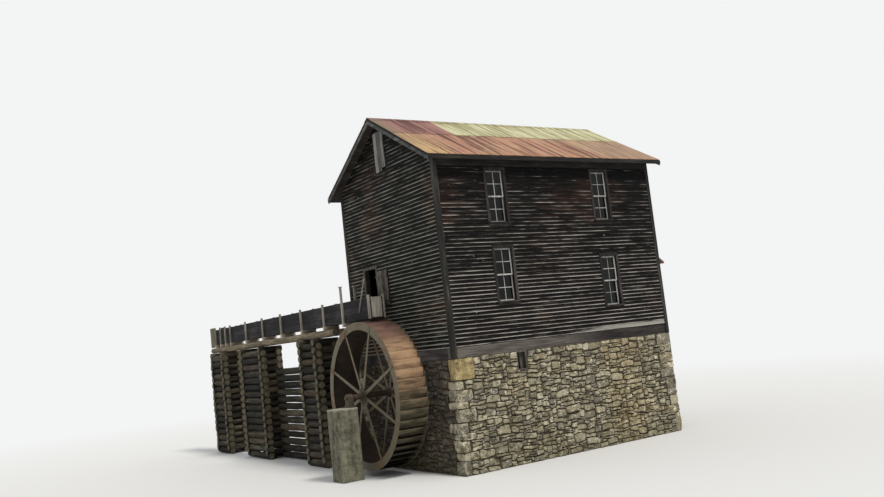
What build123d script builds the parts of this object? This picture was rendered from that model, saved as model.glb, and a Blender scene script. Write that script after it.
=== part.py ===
from build123d import *

import os
from math import cos, radians, sin, sqrt

# A small overshot watermill, in millimetres, with +Z up and the lowest ground at Z = 0.
# The eave front faces -Y, the wheel hangs on the left gable (-X), and the flume comes along +Y.

# Masonry
foundation_height = 3100
foundation_wall = 500

# Timber mill body
mill_length = 8230
mill_width = 5640
plate_height = 5610
wall_thickness = 140
sill_height = 280
sill_width = 260
board_thickness = 28
corner_board_width = 110
frieze_height = 300

# Floors
floor_boards = 50
joist_depth = 180
joist_width = 90
joist_spacing = 900
upper_floor_level = 3200
attic_floor_level = 5280

# Main roof
roof_slope = 7 / 12
eave_overhang = 350
rake_overhang = 330
deck_thickness = 110
sheet_thickness = 18
sheet_step = 7
upper_row_share = 0.44
ridge_cap_wing = 190
ridge_cap_thickness = 4
bargeboard_height = 110
bargeboard_drop = 75
fascia_height = 120

# Windows, counted from the mill's left front corner and from the top of the foundation
window_width = 600
window_height = 1500
window_centres = (2040, 6060)
upper_sill_level = 3680
left_lower_sill_level = 1430
right_lower_sill_level = 1040
jamb_thickness = 30
casing_width = 90
casing_proud = 32
sill_board_proud = 70
sill_board_height = 45
sash_width = 42
sash_depth = 34
sash_setback = 45
glass_thickness = 4

# Attic openings, closed by planks
attic_opening_width = 500
attic_opening_height = 1130
attic_opening_level = 5800
shutter_plank_width = 195
shutter_plank_gap = 3
shutter_plank_cover = 40
shutter_short_by = 95

# Hatch beside the flume
hatch_from_front = 3790
hatch_width = 720
hatch_height = 1150
hatch_level = 1780
hatch_leaf_height = 1040
hatch_leaf_width = 660
hatch_leaf_gap = 4
leaf_boards = 26
ledge_width = 110
ledge_thickness = 24
hinge_thickness = 5
hinge_width = 40
hinge_reach = 210

# Cellar vent under the sill
vent_from_left = 2090
vent_width = 360
vent_height = 540
vent_frame = 40
vent_frame_depth = 160
vent_plank_width = 120

# Lean-to on the right gable
lean_to_reach = 1290
lean_to_setback = 1200
lean_to_base_height = 2000
lean_to_base_wall = 300
lean_to_wall = 60
lean_to_slope = 0.75
lean_to_eave_level = 2360
lean_to_eave = 170
lean_to_side_overhang = 90
lean_to_roof_thickness = 45
lean_to_door_width = 860
lean_to_door_height = 1720
gable_door_width = 950
gable_door_height = 1980

# Wheel
wheel_radius = 2134
wheel_width = 907
wheel_gap = 300
axle_from_front = 3165
axle_drop = 816
shroud_depth = 226
shroud_thickness = 10
shroud_segments = 8
ring_facets = 48
segment_gap = 0.4
sole_depth = 180
sole_thickness = 6
bucket_count = 48
bucket_phase = 3.65
bucket_plate = 6
bucket_lip_inset = 3
bucket_elbow_share = 0.3
bucket_elbow_angle = 8.4
bucket_foot_angle = 7.6
bucket_belly = 14
spoke_count = 8
spoke_phase = 22.5
spoke_root_width = 105
spoke_tip_width = 80
spoke_thickness = 14
hub_flange_radius = 245
hub_flange_thickness = 22
hub_boss_radius = 130
hub_boss_facets = 16
hub_boss_length = 190
hub_boss_outside = 47.5
axle_radius = 80
journal_radius = 55
journal_length = 260
running_clearance = 0.08
seat_gap = 0.2

# Bearings, pier and the axle's passage through the foundation
bearing_length = 170
bearing_width = 380
bearing_foot_height = 60
bearing_wall = 55
passage_width = 560
passage_head = 260
bearing_height = 270
pier_gap = 350
pier_length = 670
pier_width = 700
pier_chamfer = 35

# Flume
flume_past_crown = 445
flume_inset = 307
flume_width = 420
flume_board = 40
flume_clearance = 54
flume_side_height = 630
flume_post = 60
flume_post_rise = 70
gate_post_rise = 470
cross_sill = 120
cross_sill_width = 100
gate_post_setback = 1780
first_bay_setback = 3180
flume_bay = 1790
flume_bays = 5
head_bay = 620
head_bays = 3
head_panel = 700
pole_width = 44
pole_thickness = 30
pole_foot = (680, 1600)
pole_head = (180, 2570)

# Log cribs that carry the flume
stringer_radius = 120
stringer_flat = 10
stringer_inset = 60
stringer_setback = 2580
crib_course = 250
log_sides = 6
crib_width = 600
log_overrun = 160
crib_starts = (3750, 8640, 12940)
crib_lengths = (1180, 1980, 1280)
link_courses = 13
link_offset = 200

# The part's middle on the ground is the origin
west_reach = wheel_gap + wheel_width + pier_gap + pier_length
east_reach = mill_length + lean_to_reach + lean_to_eave
left_face = (west_reach - east_reach) / 2
right_face = left_face + mill_length
flume_head_from_front = (
    axle_from_front - flume_past_crown + first_bay_setback + flume_bay * flume_bays
    + head_bay * head_bays + head_panel
)
front_face = (eave_overhang - flume_head_from_front) / 2
back_face = front_face + mill_width
ridge_y = front_face + mill_width / 2
sill_bottom = foundation_height
sill_top = sill_bottom + sill_height
plate_top = sill_bottom + plate_height
slope_factor = sqrt(1 + roof_slope**2)
deck_drop = deck_thickness * slope_factor
sheet_drop = sheet_thickness * slope_factor


def soffit(y):
    """Height of the roof deck's underside over the line at y."""
    return plate_top + (mill_width / 2 - abs(y - ridge_y)) * roof_slope


def deck_top(y):
    """Height of the roof deck's upper side over the line at y."""
    return soffit(y) + deck_drop


def block(x, y, z, mode=Mode.ADD):
    """A square-cut slab or timber, each side given as its two ends."""
    with Locations(((x[0] + x[1]) / 2, (y[0] + y[1]) / 2, (z[0] + z[1]) / 2)):
        Box(x[1] - x[0], y[1] - y[0], z[1] - z[0], mode=mode)


def profile_along_x(points, x_from, x_to):
    """A length of one section, drawn as (y, z) points and run along X."""
    with BuildSketch(Plane.YZ.offset(x_from)) as section:
        with BuildLine():
            Polyline(*points, close=True)
        make_face()
    extrude(section.sketch, amount=x_to - x_from)


def profile_along_y(points, y_from, y_to):
    """A length of one section, drawn as (x, z) points and run along Y."""
    with BuildSketch(Plane.XZ.offset(-y_from)) as section:
        with BuildLine():
            Polyline(*points, close=True)
        make_face()
    extrude(section.sketch, amount=y_from - y_to)


pieces = []


def finish(piece, label):
    """Names a finished piece and keeps it for the export."""
    piece.part.label = label
    pieces.append(piece)


# Foundation: four rubble walls, with a vent under the front sill and a passage for the axle
vent_x = (left_face + vent_from_left, left_face + vent_from_left + vent_width)
vent_z = (foundation_height - vent_height, foundation_height)
inner_left = left_face + foundation_wall
inner_right = right_face - foundation_wall
inner_front = front_face + foundation_wall
inner_back = back_face - foundation_wall
axle_y = front_face + axle_from_front
axle_z = foundation_height - axle_drop
passage_y = (axle_y - passage_width / 2, axle_y + passage_width / 2)
passage_z = (axle_z - bearing_height, axle_z + passage_head)

with BuildPart() as foundation_front:
    block((left_face, right_face), (front_face, inner_front), (0, foundation_height))
    block(vent_x, (front_face, inner_front), vent_z, Mode.SUBTRACT)
finish(foundation_front, "foundation_front")

with BuildPart() as foundation_back:
    block((left_face, right_face), (inner_back, back_face), (0, foundation_height))
finish(foundation_back, "foundation_back")

with BuildPart() as foundation_left:
    block((left_face, inner_left), (inner_front, inner_back), (0, foundation_height))
    block((left_face, inner_left), passage_y, passage_z, Mode.SUBTRACT)
finish(foundation_left, "foundation_left")

with BuildPart() as foundation_right:
    block((inner_right, right_face), (inner_front, inner_back), (0, foundation_height))
finish(foundation_right, "foundation_right")

# Cellar vent: a frame in the notch and one standing plank behind it
with BuildPart() as cellar_vent:
    block(vent_x, (front_face, front_face + vent_frame_depth), vent_z)
    block(
        (vent_x[0] + vent_frame, vent_x[1] - vent_frame),
        (front_face, front_face + vent_frame_depth),
        (vent_z[0] + vent_frame, vent_z[1] - vent_frame),
        Mode.SUBTRACT,
    )
    block(
        (vent_x[1] - vent_frame - vent_plank_width, vent_x[1] - vent_frame),
        (front_face + vent_frame_depth - board_thickness, front_face + vent_frame_depth),
        (vent_z[0] + vent_frame, vent_z[1] - vent_frame),
    )
finish(cellar_vent, "cellar_vent")

# Sill beams on the masonry
with BuildPart() as sill_beams_long:
    block((left_face, right_face), (front_face, front_face + sill_width), (sill_bottom, sill_top))
    block((left_face, right_face), (back_face - sill_width, back_face), (sill_bottom, sill_top))
finish(sill_beams_long, "sill_beams_long")

with BuildPart() as sill_beams_end:
    for near_x in (left_face, right_face - sill_width):
        block(
            (near_x, near_x + sill_width),
            (front_face + sill_width, back_face - sill_width),
            (sill_bottom, sill_top),
        )
finish(sill_beams_end, "sill_beams_end")


# Window places: (x centre from the left face, sill height above the foundation)
def window_rows(lower_levels):
    """Centres of the windows of one long wall, lower row first."""
    lower = [(left_face + x, sill_bottom + level) for x, level in zip(window_centres, lower_levels)]
    upper = [(left_face + x, sill_bottom + upper_sill_level) for x in window_centres]
    return lower + upper


front_windows = window_rows((left_lower_sill_level, right_lower_sill_level))
back_windows = window_rows((left_lower_sill_level, left_lower_sill_level))
hole_half = window_width / 2 + jamb_thickness
inner_x = (left_face + wall_thickness, right_face - wall_thickness)


def window_hole_z(sill):
    """Lower and upper edge of the hole cut for a window."""
    return (sill - jamb_thickness, sill + window_height + jamb_thickness)


# Long walls, bevelled under the roof
with BuildPart() as front_wall:
    profile_along_x(
        [
            (front_face, sill_top),
            (front_face + wall_thickness, sill_top),
            (front_face + wall_thickness, soffit(front_face + wall_thickness)),
            (front_face, soffit(front_face)),
        ],
        *inner_x,
    )
    for centre, sill in front_windows:
        block(
            (centre - hole_half, centre + hole_half),
            (front_face, front_face + wall_thickness),
            window_hole_z(sill),
            Mode.SUBTRACT,
        )
finish(front_wall, "front_wall")

with BuildPart() as back_wall:
    profile_along_x(
        [
            (back_face, sill_top),
            (back_face, soffit(back_face)),
            (back_face - wall_thickness, soffit(back_face - wall_thickness)),
            (back_face - wall_thickness, sill_top),
        ],
        *inner_x,
    )
    for centre, sill in back_windows:
        block(
            (centre - hole_half, centre + hole_half),
            (back_face - wall_thickness, back_face),
            window_hole_z(sill),
            Mode.SUBTRACT,
        )
finish(back_wall, "back_wall")

# Left gable: a front part with the attic opening, a back part, and what is under and over the hatch
left_wall_x = (left_face, left_face + wall_thickness)
right_wall_x = (right_face - wall_thickness, right_face)
hatch_y = (front_face + hatch_from_front, front_face + hatch_from_front + hatch_width)
hatch_z = (sill_bottom + hatch_level, sill_bottom + hatch_level + hatch_height)
attic_y = (ridge_y - attic_opening_width / 2, ridge_y + attic_opening_width / 2)
attic_z = (sill_bottom + attic_opening_level, sill_bottom + attic_opening_level + attic_opening_height)

with BuildPart() as left_wall_front:
    profile_along_x(
        [
            (front_face, sill_top),
            (hatch_y[0], sill_top),
            (hatch_y[0], soffit(hatch_y[0])),
            (ridge_y, soffit(ridge_y)),
            (front_face, soffit(front_face)),
        ],
        *left_wall_x,
    )
    block(left_wall_x, attic_y, attic_z, Mode.SUBTRACT)
finish(left_wall_front, "left_wall_front")

with BuildPart() as left_wall_back:
    profile_along_x(
        [
            (hatch_y[1], sill_top),
            (back_face, sill_top),
            (back_face, soffit(back_face)),
            (hatch_y[1], soffit(hatch_y[1])),
        ],
        *left_wall_x,
    )
finish(left_wall_back, "left_wall_back")

with BuildPart() as left_wall_at_hatch:
    block(left_wall_x, hatch_y, (sill_top, hatch_z[0]))
    profile_along_x(
        [
            (hatch_y[0], hatch_z[1]),
            (hatch_y[1], hatch_z[1]),
            (hatch_y[1], soffit(hatch_y[1])),
            (hatch_y[0], soffit(hatch_y[0])),
        ],
        *left_wall_x,
    )
finish(left_wall_at_hatch, "left_wall_at_hatch")

# Right gable: split beside and over the doorway into the lean-to
gable_door_y = (ridge_y - gable_door_width / 2, ridge_y + gable_door_width / 2)
gable_door_z = (sill_top, sill_top + floor_boards + gable_door_height)
side_window = (ridge_y, sill_bottom + upper_sill_level)

with BuildPart() as right_wall_front:
    profile_along_x(
        [
            (front_face, sill_top),
            (gable_door_y[0], sill_top),
            (gable_door_y[0], soffit(gable_door_y[0])),
            (front_face, soffit(front_face)),
        ],
        *right_wall_x,
    )
finish(right_wall_front, "right_wall_front")

with BuildPart() as right_wall_back:
    profile_along_x(
        [
            (gable_door_y[1], sill_top),
            (back_face, sill_top),
            (back_face, soffit(back_face)),
            (gable_door_y[1], soffit(gable_door_y[1])),
        ],
        *right_wall_x,
    )
finish(right_wall_back, "right_wall_back")

with BuildPart() as right_wall_over_door:
    profile_along_x(
        [
            (gable_door_y[0], gable_door_z[1]),
            (gable_door_y[1], gable_door_z[1]),
            (gable_door_y[1], soffit(gable_door_y[1])),
            (ridge_y, soffit(ridge_y)),
            (gable_door_y[0], soffit(gable_door_y[0])),
        ],
        *right_wall_x,
    )
    block(
        right_wall_x,
        (side_window[0] - hole_half, side_window[0] + hole_half),
        window_hole_z(side_window[1]),
        Mode.SUBTRACT,
    )
    block(right_wall_x, attic_y, attic_z, Mode.SUBTRACT)
finish(right_wall_over_door, "right_wall_over_door")

# Corner boards: an angle of two boards round each corner, up to the soffit
with BuildPart() as corner_boards:
    for corner_x, out_x in ((left_face, -1), (right_face, 1)):
        for corner_y, out_y in ((front_face, -1), (back_face, 1)):
            outer_x = corner_x + out_x * board_thickness
            outer_y = corner_y + out_y * board_thickness
            leg_x = corner_x - out_x * corner_board_width
            leg_y = corner_y - out_y * corner_board_width
            with BuildSketch(Plane.XY.offset(sill_bottom)):
                with BuildLine():
                    Polyline(
                        (outer_x, outer_y),
                        (leg_x, outer_y),
                        (leg_x, corner_y),
                        (corner_x, corner_y),
                        (corner_x, leg_y),
                        (outer_x, leg_y),
                        close=True,
                    )
                make_face()
            extrude(amount=soffit(outer_y) - sill_bottom)
finish(corner_boards, "corner_boards")

# Floors: boards on joists that span from front to back
room_x = inner_x
room_y = (front_face + wall_thickness, back_face - wall_thickness)
joist_count = int((room_x[1] - room_x[0]) // joist_spacing)

with BuildPart() as ground_floor:
    block(room_x, room_y, (sill_top, sill_top + floor_boards))
    with Locations(((room_x[0] + room_x[1]) / 2, ridge_y, sill_top - joist_depth / 2)):
        with GridLocations(joist_spacing, 1, joist_count, 1):
            Box(joist_width, mill_width - 2 * sill_width, joist_depth)
finish(ground_floor, "ground_floor")


def floor_on_joists(level):
    """A boarded floor between the walls, its top at that height above the foundation."""
    top = sill_bottom + level
    block(room_x, room_y, (top - floor_boards, top))
    with Locations(((room_x[0] + room_x[1]) / 2, ridge_y, top - floor_boards - joist_depth / 2)):
        with GridLocations(joist_spacing, 1, joist_count, 1):
            Box(joist_width, room_y[1] - room_y[0], joist_depth)


with BuildPart() as upper_floor:
    floor_on_joists(upper_floor_level)
finish(upper_floor, "upper_floor")

with BuildPart() as attic_floor:
    floor_on_joists(attic_floor_level)
finish(attic_floor, "attic_floor")

# Roof: deck, sheets in two rows, ridge cap, bargeboards and eave boards
roof_x = (left_face - rake_overhang, right_face + rake_overhang)
deck_x = (roof_x[0] + board_thickness, roof_x[1] - board_thickness)


def slope_layer(side, reach, lower, upper, x):
    """One layer of a roof slope, from the ridge out to reach, between two height functions."""
    far_y = ridge_y + side * reach
    profile_along_x(
        [(ridge_y, lower(ridge_y)), (far_y, lower(far_y)), (far_y, upper(far_y)), (ridge_y, upper(ridge_y))],
        *x,
    )


def sheet_rows(side):
    """The sheets of one slope: the upper row laps over the lower one."""
    tip_y = ridge_y + side * (mill_width / 2 + eave_overhang)
    lap_y = ridge_y + side * upper_row_share * (mill_width / 2 + eave_overhang)
    lower_drop = sheet_drop - sheet_step
    profile_along_x(
        [
            (ridge_y, deck_top(ridge_y)),
            (tip_y, deck_top(tip_y)),
            (tip_y, deck_top(tip_y) + lower_drop),
            (lap_y, deck_top(lap_y) + lower_drop),
            (lap_y, deck_top(lap_y) + sheet_drop),
            (ridge_y, deck_top(ridge_y) + sheet_drop),
        ],
        *roof_x,
    )


deck_reach = mill_width / 2 + eave_overhang - board_thickness
with BuildPart() as roof_deck_front:
    slope_layer(-1, deck_reach, soffit, deck_top, deck_x)
finish(roof_deck_front, "roof_deck_front")

with BuildPart() as roof_deck_back:
    slope_layer(1, deck_reach, soffit, deck_top, deck_x)
finish(roof_deck_back, "roof_deck_back")

with BuildPart() as roof_sheets_front:
    sheet_rows(-1)
finish(roof_sheets_front, "roof_sheets_front")

with BuildPart() as roof_sheets_back:
    sheet_rows(1)
finish(roof_sheets_back, "roof_sheets_back")

sheet_ridge = deck_top(ridge_y) + sheet_drop
with BuildPart() as ridge_cap:
    profile_along_x(
        [
            (ridge_y - ridge_cap_wing, sheet_ridge - ridge_cap_wing * roof_slope),
            (ridge_y, sheet_ridge),
            (ridge_y + ridge_cap_wing, sheet_ridge - ridge_cap_wing * roof_slope),
            (ridge_y + ridge_cap_wing, sheet_ridge - ridge_cap_wing * roof_slope + ridge_cap_thickness),
            (ridge_y, sheet_ridge + ridge_cap_thickness),
            (ridge_y - ridge_cap_wing, sheet_ridge - ridge_cap_wing * roof_slope + ridge_cap_thickness),
        ],
        *roof_x,
    )
finish(ridge_cap, "ridge_cap")


def barge_chevron(x):
    """Two bargeboards mitred at the apex, hung on the deck's end."""
    reach = mill_width / 2 + eave_overhang - board_thickness
    top = [(ridge_y + side * reach, deck_top(ridge_y + side * reach)) for side in (-1, 1)]
    profile_along_x(
        [
            (top[0][0], top[0][1] - bargeboard_drop),
            (ridge_y, deck_top(ridge_y) - bargeboard_drop),
            (top[1][0], top[1][1] - bargeboard_drop),
            (top[1][0], top[1][1] - bargeboard_drop - bargeboard_height),
            (ridge_y, deck_top(ridge_y) - bargeboard_drop - bargeboard_height),
            (top[0][0], top[0][1] - bargeboard_drop - bargeboard_height),
        ],
        *x,
    )


with BuildPart() as bargeboards:
    barge_chevron((roof_x[0], deck_x[0]))
    barge_chevron((deck_x[1], roof_x[1]))
    block(roof_x, (ridge_y - seat_gap, ridge_y + seat_gap), (sill_bottom, 2 * plate_top), Mode.SUBTRACT)
finish(bargeboards, "bargeboards")

# Eave boards: a fascia on the deck's lower end, and a frieze board on the wall under it
frieze_x = (left_face + corner_board_width, right_face - corner_board_width)
with BuildPart() as eave_boards:
    for side, face in ((-1, front_face), (1, back_face)):
        tip_y = face + side * eave_overhang
        back_of_fascia = tip_y - side * board_thickness
        fascia_top = deck_top(tip_y)
        block(
            roof_x,
            tuple(sorted((tip_y, back_of_fascia))),
            (fascia_top - fascia_height, fascia_top),
        )
        outer = face + side * board_thickness
        block(
            frieze_x,
            tuple(sorted((face, outer))),
            (soffit(outer) - frieze_height, soffit(outer)),
        )
finish(eave_boards, "eave_boards")


# Windows: jambs and casing, two sashes one behind the other, and a pane in each
def window_frame(half, sill, depth, face_out):
    """One window frame, in a plane through the middle of the hole, with X across and Z out of the wall."""
    top = sill + window_height
    middle = (sill + top) / 2
    with BuildSketch(face_out.offset(-depth)) as jambs:
        with Locations((0, middle)):
            Rectangle(2 * hole_half, window_height + 2 * jamb_thickness)
            Rectangle(2 * half, window_height, mode=Mode.SUBTRACT)
    extrude(jambs.sketch, amount=depth)
    with BuildSketch(face_out) as casing:
        with Locations((0, middle)):
            Rectangle(2 * half + 2 * casing_width, window_height + 2 * casing_width)
            Rectangle(2 * half, window_height, mode=Mode.SUBTRACT)
    extrude(casing.sketch, amount=casing_proud)
    with BuildSketch(face_out) as sill_board:
        with Locations((0, sill - sill_board_height / 2)):
            Rectangle(2 * half + 2 * casing_width, sill_board_height)
    extrude(sill_board.sketch, amount=sill_board_proud)
    sash_height = window_height / 2 + sash_width / 2
    for setback, sash_middle in (
        (sash_setback, top - sash_height / 2),
        (sash_setback + sash_depth, sill + sash_height / 2),
    ):
        with BuildSketch(face_out.offset(-setback)) as sash:
            with Locations((0, sash_middle)):
                Rectangle(2 * half, sash_height)
                Rectangle(2 * half - 2 * sash_width, sash_height - 2 * sash_width, mode=Mode.SUBTRACT)
        extrude(sash.sketch, amount=-sash_depth)


def window_panes(half, sill, face_out):
    """The two panes of one window, each in the middle of its sash."""
    top = sill + window_height
    sash_height = window_height / 2 + sash_width / 2
    for setback, sash_middle in (
        (sash_setback, top - sash_height / 2),
        (sash_setback + sash_depth, sill + sash_height / 2),
    ):
        glass_front = setback + (sash_depth - glass_thickness) / 2
        with BuildSketch(face_out.offset(-glass_front)) as pane:
            with Locations((0, sash_middle)):
                Rectangle(2 * half - 2 * sash_width, sash_height - 2 * sash_width)
        extrude(pane.sketch, amount=-glass_thickness)


window_places = [
    (Plane(origin=(x, front_face, 0), x_dir=(1, 0, 0), z_dir=(0, -1, 0)), sill) for x, sill in front_windows
]
window_places += [
    (Plane(origin=(x, back_face, 0), x_dir=(-1, 0, 0), z_dir=(0, 1, 0)), sill) for x, sill in back_windows
]
window_places.append(
    (Plane(origin=(right_face, side_window[0], 0), x_dir=(0, 1, 0), z_dir=(1, 0, 0)), side_window[1])
)

with BuildPart() as window_frames:
    for face_out, sill in window_places:
        window_frame(window_width / 2, sill, wall_thickness, face_out)
finish(window_frames, "window_frames")

with BuildPart() as window_glass:
    for face_out, sill in window_places:
        window_panes(window_width / 2, sill, face_out)
finish(window_glass, "window_glass")

# Attic shutters: standing planks nailed over the opening, the front one shorter
with BuildPart() as attic_shutters:
    for face, out in ((left_face, -1), (right_face, 1)):
        plank_x = tuple(sorted((face, face + out * board_thickness)))
        for number in range(3):
            step = (number - 1) * (shutter_plank_width + shutter_plank_gap)
            middle_y = ridge_y + step
            shorter = shutter_short_by if number == 0 else 0
            half_y = shutter_plank_width / 2
            roof_line = min(soffit(middle_y - half_y), soffit(middle_y + half_y))
            block(
                plank_x,
                (middle_y - half_y, middle_y + half_y),
                (attic_z[0] - shutter_plank_cover + shorter, min(attic_z[1] + shutter_plank_cover, roof_line)),
            )
finish(attic_shutters, "attic_shutters")

# Hatch: a frame in the wall, a ledged and braced leaf folded open to the front, and its strap hinges
casing_x = (left_face - casing_proud, left_face)
with BuildPart() as hatch_frame:
    block(casing_x, (hatch_y[0] - casing_width, hatch_y[0]), (hatch_z[0], hatch_z[1] + casing_width))
    block(casing_x, (hatch_y[1], hatch_y[1] + casing_width), (hatch_z[0], hatch_z[1] + casing_width))
    block(casing_x, hatch_y, (hatch_z[1], hatch_z[1] + casing_width))
finish(hatch_frame, "hatch_frame")

leaf_back = left_face - casing_proud
leaf_front = leaf_back - leaf_boards
leaf_y = (
    hatch_y[0] - casing_width - hatch_leaf_gap - hatch_leaf_width,
    hatch_y[0] - casing_width - hatch_leaf_gap,
)
leaf_z = (hatch_z[0], hatch_z[0] + hatch_leaf_height)
ledge_x = (leaf_front - ledge_thickness, leaf_front)
ledge_inset = ledge_width
low_ledge_z = (leaf_z[0] + ledge_inset, leaf_z[0] + ledge_inset + ledge_width)
high_ledge_z = (leaf_z[1] - ledge_inset - ledge_width, leaf_z[1] - ledge_inset)
with BuildPart() as hatch_door:
    block((leaf_front, left_face), leaf_y, leaf_z)
    for ledge_z in (low_ledge_z, high_ledge_z):
        block(ledge_x, leaf_y, ledge_z)
    profile_along_x(
        [
            (leaf_y[0], low_ledge_z[1]),
            (leaf_y[0] + ledge_width, low_ledge_z[1]),
            (leaf_y[1], high_ledge_z[0]),
            (leaf_y[1] - ledge_width, high_ledge_z[0]),
        ],
        *ledge_x,
    )
finish(hatch_door, "hatch_door")

with BuildPart() as hatch_hinges:
    for ledge_z in (low_ledge_z, high_ledge_z):
        middle_z = (ledge_z[0] + ledge_z[1]) / 2
        strap_z = (middle_z - hinge_width / 2, middle_z + hinge_width / 2)
        block(
            (ledge_x[0] - hinge_thickness, ledge_x[0]),
            (leaf_y[1] - hinge_reach, hatch_y[0] - hinge_width),
            strap_z,
        )
        block(
            (ledge_x[0] - hinge_thickness, leaf_back),
            (leaf_y[1] + hatch_leaf_gap, hatch_y[0] - hinge_width),
            strap_z,
        )
finish(hatch_hinges, "hatch_hinges")

# Lean-to: a stone base, plank walls, a floor level with the mill's, one shed roof and a plank door
lean_to_outer = right_face + lean_to_reach
lean_to_front = front_face + lean_to_setback
lean_to_tip = lean_to_outer + lean_to_eave
lean_to_floor_top = sill_top + floor_boards


def lean_to_soffit(x):
    """Height of the lean-to roof's underside over the line at x."""
    return sill_bottom + lean_to_eave_level - lean_to_roof_drop + (lean_to_tip - x) * lean_to_slope


lean_to_roof_drop = lean_to_roof_thickness * sqrt(1 + lean_to_slope**2)

with BuildPart() as lean_to_base:
    block((right_face, lean_to_outer), (lean_to_front, back_face), (0, lean_to_base_height))
    block(
        (right_face, lean_to_outer - lean_to_base_wall),
        (lean_to_front + lean_to_base_wall, back_face - lean_to_base_wall),
        (0, lean_to_base_height),
        Mode.SUBTRACT,
    )
finish(lean_to_base, "lean_to_base")

with BuildPart() as lean_to_end_walls:
    for near_y in (lean_to_front, back_face - lean_to_wall):
        profile_along_y(
            [
                (right_face + board_thickness, lean_to_base_height),
                (lean_to_outer, lean_to_base_height),
                (lean_to_outer, lean_to_soffit(lean_to_outer)),
                (right_face + board_thickness, lean_to_soffit(right_face + board_thickness)),
            ],
            near_y,
            near_y + lean_to_wall,
        )
finish(lean_to_end_walls, "lean_to_end_walls")

lean_to_side_y = (lean_to_front + lean_to_wall, back_face - lean_to_wall)
lean_to_mid_y = (lean_to_front + back_face) / 2
lean_to_door_y = (lean_to_mid_y - lean_to_door_width / 2, lean_to_mid_y + lean_to_door_width / 2)
lean_to_door_z = (lean_to_floor_top, lean_to_floor_top + lean_to_door_height)
with BuildPart() as lean_to_side_wall:
    profile_along_y(
        [
            (lean_to_outer - lean_to_wall, lean_to_base_height),
            (lean_to_outer, lean_to_base_height),
            (lean_to_outer, lean_to_soffit(lean_to_outer)),
            (lean_to_outer - lean_to_wall, lean_to_soffit(lean_to_outer - lean_to_wall)),
        ],
        *lean_to_side_y,
    )
    block((lean_to_outer - lean_to_wall, lean_to_outer), lean_to_door_y, lean_to_door_z, Mode.SUBTRACT)
finish(lean_to_side_wall, "lean_to_side_wall")

with BuildPart() as lean_to_door:
    block((lean_to_outer - leaf_boards, lean_to_outer), lean_to_door_y, lean_to_door_z)
    for level in (lean_to_door_z[0] + ledge_width, lean_to_door_z[1] - 2 * ledge_width):
        block(
            (lean_to_outer, lean_to_outer + ledge_thickness),
            lean_to_door_y,
            (level, level + ledge_width),
        )
finish(lean_to_door, "lean_to_door")

with BuildPart() as lean_to_floor:
    block(
        (right_face + board_thickness, lean_to_outer - lean_to_wall),
        lean_to_side_y,
        (lean_to_floor_top - floor_boards, lean_to_floor_top),
    )
finish(lean_to_floor, "lean_to_floor")

with BuildPart() as lean_to_roof:
    profile_along_y(
        [
            (right_face, lean_to_soffit(right_face)),
            (lean_to_tip, lean_to_soffit(lean_to_tip)),
            (lean_to_tip, lean_to_soffit(lean_to_tip) + lean_to_roof_drop),
            (right_face, lean_to_soffit(right_face) + lean_to_roof_drop),
        ],
        lean_to_front - lean_to_side_overhang,
        back_face - corner_board_width - board_thickness,
    )
finish(lean_to_roof, "lean_to_roof")

# Wheel: all of it is drawn in planes square to the axle, with local X along +Y and local Y up
wheel_inner = left_face - wheel_gap
wheel_outer = wheel_inner - wheel_width
sole_radius = wheel_radius - sole_depth
shroud_inner_radius = wheel_radius - shroud_depth


def wheel_plane(x):
    """The plane square to the axle at x."""
    return Plane(origin=(x, axle_y, axle_z), x_dir=(0, 1, 0), z_dir=(1, 0, 0))


def on_wheel(radius, angle):
    """A point in a wheel plane."""
    return (radius * cos(radians(angle)), radius * sin(radians(angle)))


def ring_segments(outer_radius, inner_radius, x_from, x_to):
    """A ring in equal segments that meet at the spokes, each plate broken once for each bucket."""
    corner_radius = outer_radius / cos(radians(180 / ring_facets))
    with BuildSketch(wheel_plane(x_from)) as section:
        RegularPolygon(corner_radius, ring_facets)
        RegularPolygon(inner_radius, ring_facets, major_radius=False, mode=Mode.SUBTRACT)
        with PolarLocations(corner_radius / 2, shroud_segments, start_angle=spoke_phase):
            Rectangle(corner_radius + segment_gap, segment_gap, mode=Mode.SUBTRACT)
    extrude(section.sketch, amount=x_to - x_from)


with BuildPart() as shrouds:
    ring_segments(wheel_radius, shroud_inner_radius, wheel_outer, wheel_outer + shroud_thickness)
    ring_segments(wheel_radius, shroud_inner_radius, wheel_inner - shroud_thickness, wheel_inner)
finish(shrouds, "shrouds")

with BuildPart() as sole:
    ring_segments(
        sole_radius + sole_thickness,
        sole_radius,
        wheel_outer + shroud_thickness,
        wheel_inner - shroud_thickness,
    )
finish(sole, "sole")

# Buckets: a short floor stands on the sole, and a longer pressed plate leans from it out to the lip
foot = on_wheel(sole_radius + sole_thickness + seat_gap, bucket_foot_angle)
elbow = on_wheel(sole_radius + sole_depth * bucket_elbow_share, bucket_elbow_angle)
lip = on_wheel(wheel_radius, 0)
plate_run = Vector(*lip) - Vector(*elbow)
belly = Vector(*elbow) + plate_run / 2 + plate_run.normalized().rotate(Axis.Z, 90) * bucket_belly
with BuildSketch() as bucket_section:
    with BuildLine():
        Polyline(foot, elbow, (belly.X, belly.Y), lip)
        offset(amount=bucket_plate, kind=Kind.INTERSECTION, side=Side.LEFT)
    make_face()
    for edge_radius, side in (
        (wheel_radius - bucket_lip_inset, Mode.INTERSECT),
        (sole_radius + sole_thickness + seat_gap, Mode.SUBTRACT),
    ):
        RegularPolygon(edge_radius, ring_facets, major_radius=False, rotation=-bucket_phase, mode=side)
with BuildPart() as buckets:
    with BuildSketch(wheel_plane(wheel_outer + shroud_thickness)):
        with PolarLocations(0, bucket_count, start_angle=bucket_phase):
            add(bucket_section.sketch)
    extrude(amount=wheel_width - 2 * shroud_thickness)
finish(buckets, "buckets")

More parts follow.
